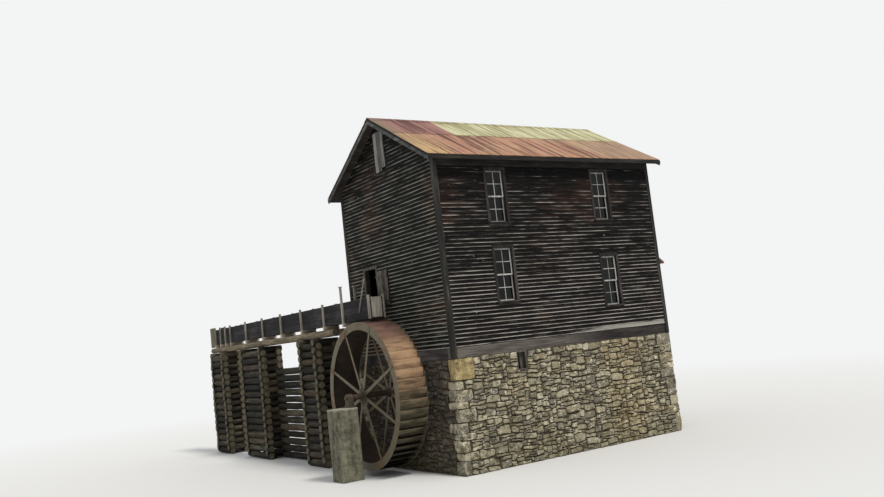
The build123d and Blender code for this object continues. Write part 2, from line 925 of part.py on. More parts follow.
# Spokes: flat tapered arms bolted behind each shroud and on the inner side of each hub flange
spoke_tip_radius = sqrt((sole_radius - seat_gap) ** 2 - (spoke_tip_width / 2) ** 2)
spoke_planes = (wheel_outer + shroud_thickness, wheel_inner - shroud_thickness - spoke_thickness)
with BuildPart() as spokes:
    for x in spoke_planes:
        with BuildSketch(wheel_plane(x)):
            with PolarLocations(0, spoke_count, start_angle=spoke_phase):
                Polygon(
                    (hub_boss_radius + seat_gap, -spoke_root_width / 2),
                    (spoke_tip_radius, -spoke_tip_width / 2),
                    (spoke_tip_radius, spoke_tip_width / 2),
                    (hub_boss_radius + seat_gap, spoke_root_width / 2),
                    align=None,
                )
        extrude(amount=spoke_thickness)
finish(spokes, "spokes")

# Hubs: a boss keyed on the axle at each side, its flange with one flat for each spoke
with BuildPart() as hubs:
    for flange_x, boss_x in (
        (
            spoke_planes[0] - hub_flange_thickness,
            spoke_planes[0] - hub_flange_thickness - hub_boss_outside,
        ),
        (
            spoke_planes[1] + spoke_thickness,
            spoke_planes[1] + spoke_thickness + hub_flange_thickness + hub_boss_outside - hub_boss_length,
        ),
    ):
        with BuildSketch(wheel_plane(flange_x)):
            RegularPolygon(hub_flange_radius, spoke_count)
        extrude(amount=hub_flange_thickness)
        with BuildSketch(wheel_plane(boss_x)):
            RegularPolygon(hub_boss_radius, hub_boss_facets)
        extrude(amount=hub_boss_length)
    with BuildSketch(wheel_plane(wheel_outer - wheel_width)):
        Circle(axle_radius + seat_gap)
    extrude(amount=3 * wheel_width, mode=Mode.SUBTRACT)
finish(hubs, "hubs")

# Axle: a round shaft with a smaller journal at each end
outer_bearing_x = wheel_outer - pier_gap - bearing_length / 2
inner_bearing_x = left_face + foundation_wall / 2
axle_body = (outer_bearing_x + journal_length / 2, inner_bearing_x - journal_length / 2)
with BuildPart() as axle:
    with BuildSketch(wheel_plane(axle_body[0])):
        Circle(axle_radius)
    extrude(amount=axle_body[1] - axle_body[0])
    for journal_x in (outer_bearing_x, inner_bearing_x):
        with BuildSketch(wheel_plane(journal_x - journal_length / 2)):
            Circle(journal_radius)
        extrude(amount=journal_length)
finish(axle, "axle")

# Bearings: a foot and a round-topped block on each seat, bored for the journal
bore_radius = journal_radius + running_clearance
cap_radius = journal_radius + bearing_wall
with BuildPart() as bearings:
    for middle_x in (outer_bearing_x, inner_bearing_x):
        with BuildSketch(wheel_plane(middle_x - bearing_length / 2)):
            Circle(cap_radius)
            with Locations((0, -bearing_height / 2)):
                Rectangle(2 * cap_radius, bearing_height)
            with Locations((0, -bearing_height + bearing_foot_height / 2)):
                Rectangle(bearing_width, bearing_foot_height)
            Circle(bore_radius, mode=Mode.SUBTRACT)
        extrude(amount=bearing_length)
finish(bearings, "bearings")

# Pier: a square concrete block with its standing edges struck off
pier_x = (wheel_outer - pier_gap - pier_length, wheel_outer - pier_gap)
pier_top = axle_z - bearing_height
with BuildPart() as pier:
    block(pier_x, (axle_y - pier_width / 2, axle_y + pier_width / 2), (0, pier_top))
    chamfer(pier.edges().filter_by(Axis.Z), pier_chamfer)
finish(pier, "pier")

# Flume: a plank trough on cross sills, level from the head to just past the wheel's crown
flume_bottom = axle_z + wheel_radius + flume_clearance
flume_x = (wheel_outer + flume_inset, wheel_outer + flume_inset + flume_width)
flume_end = axle_y - flume_past_crown
flume_head = front_face + flume_head_from_front
side_top = flume_bottom + flume_side_height

with BuildPart() as flume_floor:
    block(
        (flume_x[0] + flume_board, flume_x[1] - flume_board),
        (flume_end, flume_head),
        (flume_bottom, flume_bottom + flume_board),
    )
finish(flume_floor, "flume_floor")

with BuildPart() as flume_sides:
    for near_x in (flume_x[0], flume_x[1] - flume_board):
        block((near_x, near_x + flume_board), (flume_end, flume_head), (flume_bottom, side_top))
finish(flume_sides, "flume_sides")

with BuildPart() as flume_end_boards:
    for end_y in (flume_end, flume_head - flume_board):
        block(
            (flume_x[0] + flume_board, flume_x[1] - flume_board),
            (end_y, end_y + flume_board),
            (flume_bottom + flume_board, side_top),
        )
finish(flume_end_boards, "flume_end_boards")

# Posts stand on the ends of the cross sills, outside the sides
gate_y = flume_end + gate_post_setback
first_bay_y = flume_end + first_bay_setback
bay_posts = [first_bay_y + flume_bay * number for number in range(flume_bays + 1)]
head_posts = [bay_posts[-1] + head_bay * number for number in range(1, head_bays + 1)]
sill_stations = [gate_y] + bay_posts + head_posts
post_lines = (flume_x[0] - flume_post, flume_x[1])
with BuildPart() as flume_posts:
    for near_x in post_lines:
        for station in sill_stations:
            rise = gate_post_rise if station == gate_y else flume_post_rise
            block(
                (near_x, near_x + flume_post),
                (station - flume_post / 2, station + flume_post / 2),
                (flume_bottom, side_top + rise),
            )
        block(
            (near_x, near_x + flume_post),
            (flume_end, flume_end + flume_post),
            (flume_bottom, side_top + flume_post_rise),
        )
finish(flume_posts, "flume_posts")

cross_sill_z = (flume_bottom - cross_sill, flume_bottom)
with BuildPart() as flume_cross_sills:
    for station in sill_stations:
        block(
            (post_lines[0], left_face if station == gate_y else post_lines[1] + flume_post),
            (station - cross_sill_width / 2, station + cross_sill_width / 2),
            cross_sill_z,
        )
finish(flume_cross_sills, "flume_cross_sills")

# Stringers: two round logs, hewn flat where they bear, under the cross sills
stringer_bearing = stringer_radius - stringer_flat
stringer_z = cross_sill_z[0] - stringer_bearing
stringer_y = (flume_end + stringer_setback, flume_head)
stringer_lines = (flume_x[0] + stringer_inset, flume_x[1] - stringer_inset)
with BuildPart() as stringers:
    with BuildSketch(Plane.XZ.offset(-stringer_y[0])):
        for x in stringer_lines:
            with Locations((x, stringer_z)):
                Circle(stringer_radius)
        with Locations((sum(stringer_lines) / 2, stringer_z)):
            Rectangle(4 * flume_width, 2 * stringer_bearing, mode=Mode.INTERSECT)
    extrude(amount=stringer_y[0] - stringer_y[1])
finish(stringers, "stringers")

# Cribs: hewn logs laid crosswise, each course notched over the one below, a cross log on top
crib_top = stringer_z - stringer_bearing
crib_middle = (flume_x[0] + flume_x[1]) / 2
course_count = int(crib_top // crib_course)
course_height = crib_top / (course_count + 0.5)
log_size = course_height / 2


def log_stack(plane, middle, spacing, base, courses):
    """Sections of stacked hewn logs in a plane that stands on the ground."""
    with BuildSketch(plane) as section:
        with Locations((middle, base + courses * course_height / 2)):
            with GridLocations(spacing, course_height, 2 if spacing else 1, courses):
                RegularPolygon(log_size, log_sides, major_radius=False)
    return section.sketch


def long_logs(start, length):
    """Both side walls of one crib, their logs along Y."""
    return extrude(
        log_stack(Plane.XZ.offset(log_overrun - start), crib_middle, crib_width, 0, course_count),
        amount=-(length + 2 * log_overrun),
        mode=Mode.PRIVATE,
    )


def cross_logs(start, length):
    """Both end walls of one crib, their logs along X and half a course higher."""
    return extrude(
        log_stack(
            Plane.YZ.offset(crib_middle - crib_width / 2 - log_overrun),
            start + length / 2,
            length,
            course_height / 2,
            course_count,
        ),
        amount=crib_width + 2 * log_overrun,
        mode=Mode.PRIVATE,
    )


crib_places = [(flume_end + start, length) for start, length in zip(crib_starts, crib_lengths)]
with BuildPart() as crib_cross_logs:
    for start, length in crib_places:
        add(cross_logs(start, length))
finish(crib_cross_logs, "crib_cross_logs")

with BuildPart() as crib_long_logs:
    for start, length in crib_places:
        add(long_logs(start, length) - cross_logs(start, length))
finish(crib_long_logs, "crib_long_logs")

# Link logs: a lower wall of logs between the first two cribs
link_y = (
    flume_end + crib_starts[0] + crib_lengths[0] + log_overrun + seat_gap,
    flume_end + crib_starts[1] - log_overrun - seat_gap,
)
with BuildPart() as crib_link_logs:
    extrude(
        log_stack(Plane.XZ.offset(-link_y[0]), crib_middle + link_offset, 0, 0, link_courses),
        amount=link_y[0] - link_y[1],
    )
finish(crib_link_logs, "crib_link_logs")

# Control pole: a light batten that leans against the trough's outer side
with BuildPart() as control_pole:
    pole_foot_y = flume_end + pole_foot[0]
    pole_head_y = flume_end + pole_head[0]
    profile_along_x(
        [
            (pole_foot_y, sill_bottom + pole_foot[1]),
            (pole_foot_y + pole_width, sill_bottom + pole_foot[1]),
            (pole_head_y + pole_width, sill_bottom + pole_head[1]),
            (pole_head_y, sill_bottom + pole_head[1]),
        ],
        flume_x[0] - pole_thickness,
        flume_x[0],
    )
finish(control_pole, "control_pole")

os.makedirs("parts", exist_ok=True)
for piece in pieces:
    export_step(piece.part, f"parts/{piece.part.label}.step")
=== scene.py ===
# %% [markdown]
# # A timber watermill, dressed for its picture
# The watermill comes from CAD as plain solids at their real size: walls, roof, wheel, flume and
# log cribs. This lesson leaves those solids where they are and gives each one its real surface.
# Clapboards, rubble stones, corrugated sheets and round logs are built as meshes from the sizes of
# the frame, and every finish is a small network of shader nodes.

# %% Load the frame
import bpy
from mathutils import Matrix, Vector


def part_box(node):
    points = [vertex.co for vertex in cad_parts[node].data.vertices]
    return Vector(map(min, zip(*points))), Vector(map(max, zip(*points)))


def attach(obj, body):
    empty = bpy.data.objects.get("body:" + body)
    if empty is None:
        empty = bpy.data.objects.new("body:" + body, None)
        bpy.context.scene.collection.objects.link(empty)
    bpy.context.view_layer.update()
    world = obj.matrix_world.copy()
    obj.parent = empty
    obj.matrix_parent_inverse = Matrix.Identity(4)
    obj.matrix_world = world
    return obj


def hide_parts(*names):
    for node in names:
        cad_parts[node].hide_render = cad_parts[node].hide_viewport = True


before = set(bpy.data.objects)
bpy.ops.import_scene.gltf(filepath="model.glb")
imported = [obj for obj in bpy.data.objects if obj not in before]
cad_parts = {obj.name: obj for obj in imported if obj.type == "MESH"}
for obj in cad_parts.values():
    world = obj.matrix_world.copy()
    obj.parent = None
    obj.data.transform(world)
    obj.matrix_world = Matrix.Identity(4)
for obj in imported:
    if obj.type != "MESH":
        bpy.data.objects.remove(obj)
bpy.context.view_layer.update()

# %% Modules
import math
import random
from functools import cached_property

import bmesh
import bpy
from mathutils import Matrix, Vector, noise

# %% [markdown]
# ## Sizes from the frame
# Places are read from the boxes of CAD nodes, so a stone or a clapboard follows when the mill
# changes. The windows' places, and sizes that belong to the trade, such as how much of a clapboard
# shows, are named where they are used.

# %% The mill's faces and levels
mill_low, mill_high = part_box("foundation_front")
left_face, right_face, front_face = mill_low.x, mill_high.x, mill_low.y
back_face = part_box("foundation_back")[1].y
foundation_top = mill_high.z
ridge_y = (front_face + back_face) / 2
sheets_low, sheets_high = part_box("roof_sheets_front")
corner_low, corner_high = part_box("corner_boards")
corner_proud = left_face - corner_low.x
roof_slope = 7 / 12
roof_reach = ridge_y - sheets_low.y
axle_low, axle_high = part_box("axle")
axle_y, axle_z = (axle_low.y + axle_high.y) / 2, (axle_low.z + axle_high.z) / 2
shroud_low, shroud_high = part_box("shrouds")
wheel_radius = (shroud_high.z - shroud_low.z) / 2
print("mill", round(right_face - left_face, 3), "by", round(back_face - front_face, 3))


def sheet_bed(y):
    """Height of the boarding under the roof sheets, over the line at y."""
    return sheets_low.z + (roof_reach - abs(y - ridge_y)) * roof_slope


deck_depth = sheet_bed(corner_low.y) - corner_high.z


def soffit(y):
    """Height of the underside of the roof's boarding, over the line at y."""
    return sheet_bed(y) - deck_depth


print("soffit at the wall", round(soffit(front_face), 3), "at the ridge", round(soffit(ridge_y), 3))

# %% [markdown]
# ## Camera
# The camera stands low, to the left of the mill's near corner, and is a little tilted. It is placed
# from that corner, with the heading, pitch and roll that a fit to the picture gave. A rotation
# matrix built from three directions keeps the roll exact.

# %% Camera
camera_from_corner = Vector((-12.810, -19.563, 0.5246))
camera_heading = math.radians(33.234)
camera_pitch = math.radians(6.010)
camera_roll = math.radians(-6.3136)
focal_pixels = 867.718
picture_width = 884

ahead = Vector((
    math.sin(camera_heading) * math.cos(camera_pitch),
    math.cos(camera_heading) * math.cos(camera_pitch),
    math.sin(camera_pitch),
))
level_right = Vector((math.cos(camera_heading), -math.sin(camera_heading), 0))
level_up = level_right.cross(ahead)
camera_right = level_right * math.cos(camera_roll) + level_up * math.sin(camera_roll)
camera_up = level_up * math.cos(camera_roll) - level_right * math.sin(camera_roll)

camera_data = bpy.data.cameras.new("camera")
camera_data.sensor_width = 36
camera_data.lens = focal_pixels / picture_width * camera_data.sensor_width
camera_data.clip_end = 400
camera = bpy.data.objects.new("camera", camera_data)
bpy.context.scene.collection.objects.link(camera)
turn = Matrix((camera_right, camera_up, -ahead)).transposed().to_4x4()
near_corner = Vector((left_face, front_face, foundation_top))
camera.matrix_world = Matrix.Translation(near_corner + camera_from_corner) @ turn
bpy.context.scene.camera = camera
bpy.context.scene.view_settings.view_transform = "Standard"
print("lens", round(camera_data.lens, 2), "mm, camera at", [round(value, 2) for value in camera.location])

# %% [markdown]
# ## Shader arithmetic in plain Python
# A finish is easier to read as a sum than as a drawing of wires. The class below holds one socket,
# and its operators add Math nodes, so that `1 - mask` or `grain * 0.4 + patches` can be written as
# they are thought. The second class is a finish in the making: one method adds any other node.
# Colours are written as a screen shows them, three parts from 0 to 255, and turned into the linear
# values that shaders use.

# %% Colours
def linear(part):
    """One part of a screen colour as a shader's value."""
    if part <= 10:
        return part / 3295
    return ((part / 255 + 0.055) / 1.055) ** 2.4


def paint(red, green, blue):
    """A shader's colour, opaque, from its three parts on a screen."""
    return (linear(red), linear(green), linear(blue), 1.0)


# %% A socket with operators
class Wire:
    """The value of one socket; arithmetic on it adds Math nodes to its finish."""

    def __init__(self, finish, socket):
        self.finish = finish
        self.socket = socket

    def __add__(self, other):
        return self.finish.maths("ADD", self, other)

    def __radd__(self, other):
        return self.finish.maths("ADD", other, self)

    def __sub__(self, other):
        return self.finish.maths("SUBTRACT", self, other)

    def __rsub__(self, other):
        return self.finish.maths("SUBTRACT", other, self)

    def __mul__(self, other):
        return self.finish.maths("MULTIPLY", self, other)

    def __rmul__(self, other):
        return self.finish.maths("MULTIPLY", other, self)

    def __truediv__(self, other):
        return self.finish.maths("DIVIDE", self, other)


# %% A finish in the making
class Finish:
    """One material, or the world's light; its methods add the nodes and join them."""

    def __init__(self, name, world=None):
        self.material = world or bpy.data.materials.new(name)
        self.material.use_nodes = True
        self.nodes = self.material.node_tree.nodes
        self.links = self.material.node_tree.links
        self.nodes.clear()

    def node(self, kind, settings=None, inputs=None, output=0):
        """Any node: its settings come first, then the values or links of its sockets."""
        made = self.nodes.new("ShaderNode" + kind)
        for name, value in (settings or {}).items():
            setattr(made, name, value)
        for name, value in (inputs or {}).items():
            if isinstance(value, Wire):
                self.links.new(value.socket, made.inputs[name])
            else:
                made.inputs[name].default_value = value
        return Wire(self, made.outputs[output]) if made.outputs else None

    def maths(self, operation, *values):
        """A Math node; its values are wires or numbers."""
        return self.node("Math", {"operation": operation}, dict(enumerate(values)))

    @cached_property
    def place(self):
        """Where a point is on the object, in metres, in the mill's own frame."""
        return self.node("TexCoord", output="Object")

    def axis(self, name, vector=None):
        """One part of a vector, of the place if no other is given."""
        return self.node("SeparateXYZ", inputs={"Vector": vector or self.place}, output=name)

    def cloud(self, scale, detail, roughness=0.55, vector=None):
        """Soft noise around one half."""
        inputs = {"Scale": scale, "Detail": detail, "Roughness": roughness, "Vector": vector or self.place}
        return self.node("TexNoise", inputs=inputs)

    def streaks(self, axis, along, across, detail, roughness=0.55):
        """Noise with one scale along an axis and another across it, so that it is drawn out like grain."""
        scale = tuple(along if name == axis else across for name in "xyz")
        drawn_out = self.node("Mapping", {"vector_type": "POINT"}, {"Vector": self.place, "Scale": scale})
        return self.cloud(1.0, detail, roughness, drawn_out)

    def rise(self, value, low, high):
        """Nought below low, one above high, and smooth between; low may be the larger."""
        inputs = {"Value": value, "From Min": low, "From Max": high}
        return self.node("MapRange", {"interpolation_type": "SMOOTHSTEP"}, inputs)

    def blend(self, amount, under, over):
        """One colour over another; each is a Wire or its three parts on a screen."""
        under, over = (paint(*colour) if isinstance(colour, tuple) else colour for colour in (under, over))
        settings = {"data_type": "RGBA", "clamp_factor": True}
        return self.node("Mix", settings, {0: amount, 6: under, 7: over}, 2)

    def carried(self, name):
        """A value that the mesh carries on its points or faces; nought on a CAD node."""
        return self.node("Attribute", {"attribute_name": name}, output="Fac")

    def shade(self, colour, roughness, height, relief, metallic=0.0, gloss=0.5):
        """Ends the finish: a Principled shader, with the height feeding a Bump node."""
        bump = self.node("Bump", inputs={"Height": height, "Strength": 1.0, "Distance": relief})
        shader = self.node("BsdfPrincipled", inputs={
            "Base Color": colour, "Roughness": roughness, "Metallic": metallic,
            "Specular IOR Level": gloss, "Normal": bump,
        })
        self.node("OutputMaterial", inputs={"Surface": shader})
        return self.material


# %% [markdown]
# ## Weathered wood
# Nearly every timber on the mill is bare, grey and streaked along its grain, so one recipe serves
# them all. Noise is drawn out along the board: the fine noise is grain, the broad noise is where
# rain and sun have worked, and a random value sets each board apart from its neighbours. Only the
# colours and the direction of the grain change from timber to timber.

# %% Weathered wood
def drawn_boards(finish, fine, first, width, face_x):
    """Boards drawn on a plain node: a random tone for each, and a mask of the gaps between them."""
    from_first = finish.axis("Y") - first
    number = finish.maths("FLOOR", from_first / width)
    tone = finish.node("TexWhiteNoise", {"noise_dimensions": "1D"}, {"W": number}, output="Value")
    to_gap = finish.maths("PINGPONG", from_first, width / 2)
    gap = finish.rise(to_gap + (fine - 0.5) * 0.004, 0.005, 0.002)
    return tone, gap * finish.rise(finish.axis("X"), face_x - 0.012, face_x - 0.008)


def weathered_wood(
    name, axis, dark, middle, light, relief=0.0015, greying=0.5, patchy=0.5, board_range=0.45, boards=None
):
    """Bare wood: dark in its grain, pale where the weather has reached it.

    boards is for a node that stands for several boards side by side. It holds the y where the first
    one starts, the width of a board and the x of the boards' face.
    """
    finish = Finish(name)
    fine = finish.streaks(axis, 2.2, 60, 8, 0.65)
    coarse = finish.streaks(axis, 0.9, 11, 5)
    broad = finish.cloud(0.8, 4)
    board, gap = drawn_boards(finish, fine, *boards) if boards else (finish.carried("tone"), None)
    grey = (fine - 0.5) * 1.6 + (coarse - 0.5) * 1.3 + (broad - 0.5) * (2 * patchy) + board * board_range
    tone = finish.rise(grey + greying, -0.15, 1.0)
    colour = finish.blend(finish.rise(tone, 0.0, 0.5), dark, middle)
    colour = finish.blend(finish.rise(tone, 0.45, 1.0), colour, light)
    if gap:
        colour = finish.blend(gap * 0.85, colour, (14, 12, 11))
    roughness = 0.78 + (coarse - 0.5) * 0.25
    return finish.shade(colour, roughness, fine + coarse * 0.6, relief, gloss=0.25)


# %% [markdown]
# ## Clapboard finish
# A clapboard is dark on its face and pale along its lower edge, where it stands out from the board
# below and the weather wears it. The boards lie at an even gauge, so the height of a point within
# its course tells how near that edge it is. Rust-red stain, pale flakes of old whitewash, the
# bleached lowest boards and the rusty nails are further layers, each with its own mask. Painted
# shade darkens the boards near the roof, where the overhang shades them, and dims their pale edges.

# %% Nails in the clapboards
clapboard_gauge = 0.112
first_course = 0.30
clapboard_foot = foundation_top + first_course
stud_spacing = 0.61
nail_height = 0.026


def add_nails(finish, colour, axis, course, grain):
    """A rusty nail over every stud near a board's foot, and the rust that has run down from it."""
    to_stud = finish.maths("PINGPONG", finish.axis(axis.upper()), stud_spacing / 2)
    over_nail = course * clapboard_gauge - nail_height
    to_nail = finish.maths("SQRT", to_stud * to_stud + over_nail * over_nail)
    under_nail = finish.rise(over_nail, 0.004, -0.004)
    rust_run = finish.rise(to_stud + (grain - 0.5) * 0.006, 0.010, 0.003) * under_nail
    colour = finish.blend(rust_run * 0.5, colour, (70, 42, 30))
    return finish.blend(finish.rise(to_nail, 0.007, 0.005), colour, (92, 62, 48))


# %% Clapboard finish
def clapboard_wood(name, axis, colours, edge_amount, stain_amount, splash, shade_from, shade_to):
    """The finish of one wall's clapboards; painted shade darkens it between two heights, under the roof."""
    dark, face, stain, edge, eave_shade = colours
    finish = Finish(name)
    height = finish.axis("Z")
    grain = finish.streaks(axis, 1.8, 55, 8, 0.65)
    streak = finish.streaks(axis, 1.3, 12, 6, 0.6)
    broad = finish.cloud(0.42, 3)
    board = finish.carried("tone")
    course = finish.maths("FRACT", (height - clapboard_foot) / clapboard_gauge)
    # Painted shade under the roof's overhang: the boards darken between two heights, and their pale edges
    # fade.
    eave_shade_mask = finish.rise(height + (broad - 0.5) * 1.2, shade_from, shade_to)

    tone = (grain - 0.5) * 1.3 + (streak - 0.5) * 1.1 + (board - 0.5) * 0.4 + 0.4
    colour = finish.blend(finish.rise(tone, 0.1, 0.95), dark, face)
    low_stain = finish.rise(height + (streak - 0.5) * 2, clapboard_foot + 2.2, clapboard_foot + 0.8) * splash
    stained = finish.rise(broad + (streak - 0.5) * 0.6 + low_stain, 0.54, 0.74) * stain_amount
    colour = finish.blend(stained, colour, stain)
    colour = finish.blend(eave_shade_mask * 0.75, colour, eave_shade)

    low_boards = finish.rise(height + (broad - 0.5) * 2, clapboard_foot + 3.6, clapboard_foot + 0.4)
    worn = (streak - 0.5) * 2.7 + (grain - 0.5) * 1.8 + (board - 0.5) * 0.35 + low_boards * 0.4 + edge_amount
    near_edge = finish.rise(course, 0.30, 0.06) * finish.rise(worn - eave_shade_mask * 0.5, 0.0, 1.15)
    colour = finish.blend(near_edge, colour, edge)
    bleached = finish.rise(worn + (grain - 0.5), 1.1, 2.1) * 0.4
    colour = finish.blend(bleached, colour, edge)
    foot_board = finish.rise(height, clapboard_foot + 0.115, clapboard_foot + 0.105)
    at_right = finish.rise(finish.axis("X") + (streak - 0.5) * 3, 0.6, 2.4)
    colour = finish.blend(foot_board * at_right * 0.6, colour, edge)
    pale_grain = finish.rise(grain + (streak - 0.5) * 0.5, 0.56, 0.80) * 0.10
    colour = finish.blend(pale_grain, colour, edge)
    colour = add_nails(finish, colour, axis, course, grain)

    specks = finish.streaks(axis, 9, 22, 2)
    gathered = finish.cloud(1.1, 2)
    flake = finish.rise(specks, 0.72, 0.745) * finish.rise(gathered, 0.5, 0.6)
    colour = finish.blend(flake, colour, (196, 190, 180))
    roughness = 0.8 + (streak - 0.5) * 0.2
    return finish.shade(colour, roughness, grain + streak, 0.0018, gloss=0.12)


# The last colour of each set is painted shade, for the boards under the roof.
sunny_colours = ((8, 7, 7), (20, 16, 15), (58, 38, 30), (184, 179, 170), (8, 9, 10))
shady_colours = ((10, 11, 9), (24, 25, 22), (86, 58, 40), (168, 167, 156), (10, 10, 11))
front_clapboard = clapboard_wood(
    "clapboard_sunny", "x", sunny_colours,
    edge_amount=0.33, stain_amount=0.75, splash=0.0, shade_from=6.8, shade_to=8.9,
)
gable_clapboard = clapboard_wood(
    "clapboard_shady", "y", shady_colours,
    edge_amount=0.66, stain_amount=0.55, splash=0.14, shade_from=6.8, shade_to=10.4,
)
print("clapboards every", clapboard_gauge, "m from", round(clapboard_foot, 3), "m up")

# %% Timber finishes
trim_wood = weathered_wood("trim_upright", "z", (22, 20, 18), (40, 38, 35), (84, 81, 75), greying=0.36)
# The eave boards get darker colours than the upright trim: painted shade under the roof's overhang.
shaded_eave_wood = weathered_wood("trim_level_shaded", "x", (16, 15, 14), (30, 28, 26), (68, 64, 58), greying=0.36)
barge_wood = weathered_wood("trim_sloping", "y", (44, 44, 45), (74, 75, 75), (124, 125, 122), greying=0.4)
hewn_y = weathered_wood("hewn_cross", "y", (34, 31, 31), (60, 55, 55), (96, 90, 88), 0.004, 0.4, 0.8)
inside_wood = weathered_wood("inside_boards", "x", (30, 27, 25), (54, 48, 43), (84, 76, 68), greying=0.35)
flume_wood = weathered_wood("flume_plank", "y", (18, 16, 18), (34, 31, 34), (66, 60, 60), 0.002, 0.14, 0.8)
post_wood = weathered_wood("flume_post", "z", (84, 80, 72), (126, 121, 110), (170, 164, 150), greying=0.5)
sill_wood = weathered_wood("cross_sill", "x", (108, 98, 84), (160, 148, 128), (200, 190, 170), greying=0.55)
shed_wood = weathered_wood(
    "shed_plank", "z", (34, 30, 28), (64, 58, 54), (110, 103, 96), 0.002, 0.05, 0.5, 0.7
)
leaf_wood = weathered_wood("leaf_plank", "z", (42, 38, 35), (76, 70, 64), (116, 110, 101), greying=0.42)
leaf_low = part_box("hatch_door")[0]
leaf_ledge = 0.024
leaf_board = 0.165
hatch_leaf_wood = weathered_wood(
    "hatch_leaf", "z", (40, 36, 33), (74, 68, 62), (118, 112, 102), 0.002, 0.16, 0.5, 0.5,
    (leaf_low.y, leaf_board, leaf_low.x + leaf_ledge),
)
door_wood = weathered_wood(
    "door_plank", "z", (42, 38, 35), (76, 70, 64), (120, 113, 103), 0.002, 0.15, 0.5, 0.6
)
head_wood = weathered_wood(
    "head_board", "z", (62, 58, 45), (104, 99, 78), (152, 145, 118), 0.002, 0.25, 0.5, 0.4
)
shutter_low, shutter_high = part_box("attic_shutters")
shutter_board, shutter_gap = 0.198, 0.003
shutter_wood = weathered_wood(
    "shutter_plank", "z", (54, 52, 50), (100, 98, 94), (154, 152, 146),
    0.002, 0.16, 0.5, 0.65, (shutter_low.y - shutter_gap / 2, shutter_board, left_face - 1),
)
sash_paint = weathered_wood(
    "sash_paint", "z", (96, 94, 89), (142, 140, 135), (186, 185, 180), 0.0006, 0.33, 0.6
)
casing_wood = weathered_wood("casing", "z", (22, 19, 18), (40, 35, 33), (76, 70, 65), greying=0.12)
print(len(bpy.data.materials), "finishes so far")


# %% Hewn sill beams
def sill_beam_finish():
    """The long sill: faded to a warm grey at its left end, and nearly black at its right."""
    finish = Finish("hewn_long")
    fine = finish.streaks("x", 2.2, 48, 8, 0.65)
    coarse = finish.streaks("x", 0.8, 9, 5)
    tone = (fine - 0.5) * 1.4 + (coarse - 0.5) * 1.2 + 0.5
    faded = finish.blend(finish.rise(tone, 0.0, 1.0), (52, 48, 44), (116, 110, 102))
    black = finish.blend(finish.rise(tone, 0.1, 1.1), (26, 24, 24), (70, 66, 62))
    at_left = finish.rise(finish.axis("X") + (coarse - 0.5) * 3, left_face + 5.6, left_face + 3.6)
    colour = finish.blend(at_left, black, faded)
    return finish.shade(colour, 0.85, fine + coarse, 0.004, gloss=0.2)


hewn_x = sill_beam_finish()

# %% [markdown]
# ## Rubble, mortar and concrete
# The foundation is field stone: buff, grey, tan and a little ochre, each stone of one colour with
# its own mottling. A random value for each stone picks the colour from a short ramp, and noise at
# two sizes makes the mottling and the chipped surface.

# %% Rubble finish
warm_x = 2.3


def ramp(finish, value, stops):
    """Colours at places from nought to one, joined smoothly."""
    wire = finish.node("ValToRGB", inputs={"Fac": value})
    band = wire.socket.node.color_ramp
    for place, colour in stops[1:-1]:
        band.elements.new(place).color = paint(*colour)
    for element, (place, colour) in ((band.elements[0], stops[0]), (band.elements[-1], stops[-1])):
        element.position = place
        element.color = paint(*colour)
    return wire


def rubble_finish(name, stops, dampness, hollow_dirt_and_shade, chipped, warmth=0.0):
    """Field stone: each stone has its own colour, with stains, pitted spots of dirt and painted shade, and
    pale chipped flecks that are also painted highlights.
    """
    finish = Finish(name)
    stone = finish.carried("tone")
    mottle = finish.cloud(6, 8, 0.75)
    chip = finish.cloud(30, 6, 0.75)
    broad = finish.cloud(0.6, 2)
    colour = ramp(finish, stone * 0.8 + 0.1 + (broad - 0.5) * 0.6 + (mottle - 0.5) * 1.1, stops)
    warm_stretch = finish.rise(finish.maths("ABSOLUTE", finish.axis("X") - warm_x), 1.1, 0.2)
    warm = finish.rise(broad + (mottle - 0.5) * 0.8 + warm_stretch * 0.3, 0.56, 0.76) * warmth
    colour = finish.blend(warm, colour, (172, 151, 106))
    # Dark pitted spots: dirt in the stone's pits, with painted shade that deepens them.
    pits_dirt_and_shade = finish.rise(mottle + (chip - 0.5) * 0.9, 0.52, 0.30) * 0.85
    colour = finish.blend(pits_dirt_and_shade, colour, hollow_dirt_and_shade)
    # Pale flecks: chipped stone, with painted highlights that brighten them.
    chips_and_highlights = finish.rise(mottle + (chip - 0.5) * 1.0, 0.54, 0.70) * 0.8
    colour = finish.blend(chips_and_highlights, colour, chipped)
    damp = finish.rise(finish.axis("Z") + (mottle - 0.5) * 1.6, 1.0, -0.1) * dampness
    colour = finish.blend(damp, colour, (84, 82, 58))
    roughness = 0.86 + (chip - 0.5) * 0.2
    return finish.shade(colour, roughness, mottle + chip * 0.5, 0.035, gloss=0.3)


sunny_stone = rubble_finish("rubble_sunny", [
    (0.0, (84, 78, 66)),
    (0.16, (146, 138, 114)),
    (0.32, (112, 107, 96)),
    (0.5, (170, 161, 133)),
    (0.66, (128, 115, 90)),
    (0.84, (190, 182, 154)),
    (1.0, (118, 113, 104)),
], dampness=0.35, hollow_dirt_and_shade=(42, 38, 31), chipped=(232, 227, 208), warmth=0.42)
ochre_stone = rubble_finish("rubble_ochre", [
    (0.0, (116, 106, 78)),
    (0.5, (164, 144, 98)),
    (1.0, (134, 122, 92)),
], dampness=0.0, hollow_dirt_and_shade=(82, 70, 46), chipped=(206, 194, 156))
shady_stone = rubble_finish("rubble_shady", [
    (0.0, (60, 54, 47)),
    (0.3, (88, 80, 69)),
    (0.6, (74, 68, 62)),
    (0.8, (96, 82, 64)),
    (1.0, (80, 73, 68)),
], dampness=0.5, hollow_dirt_and_shade=(34, 30, 26), chipped=(150, 144, 130))
print("stone finishes for the sun, the shade and the corner's top block")

# %% Joint and concrete finishes
pier_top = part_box("pier")[1].z
form_board = 0.24


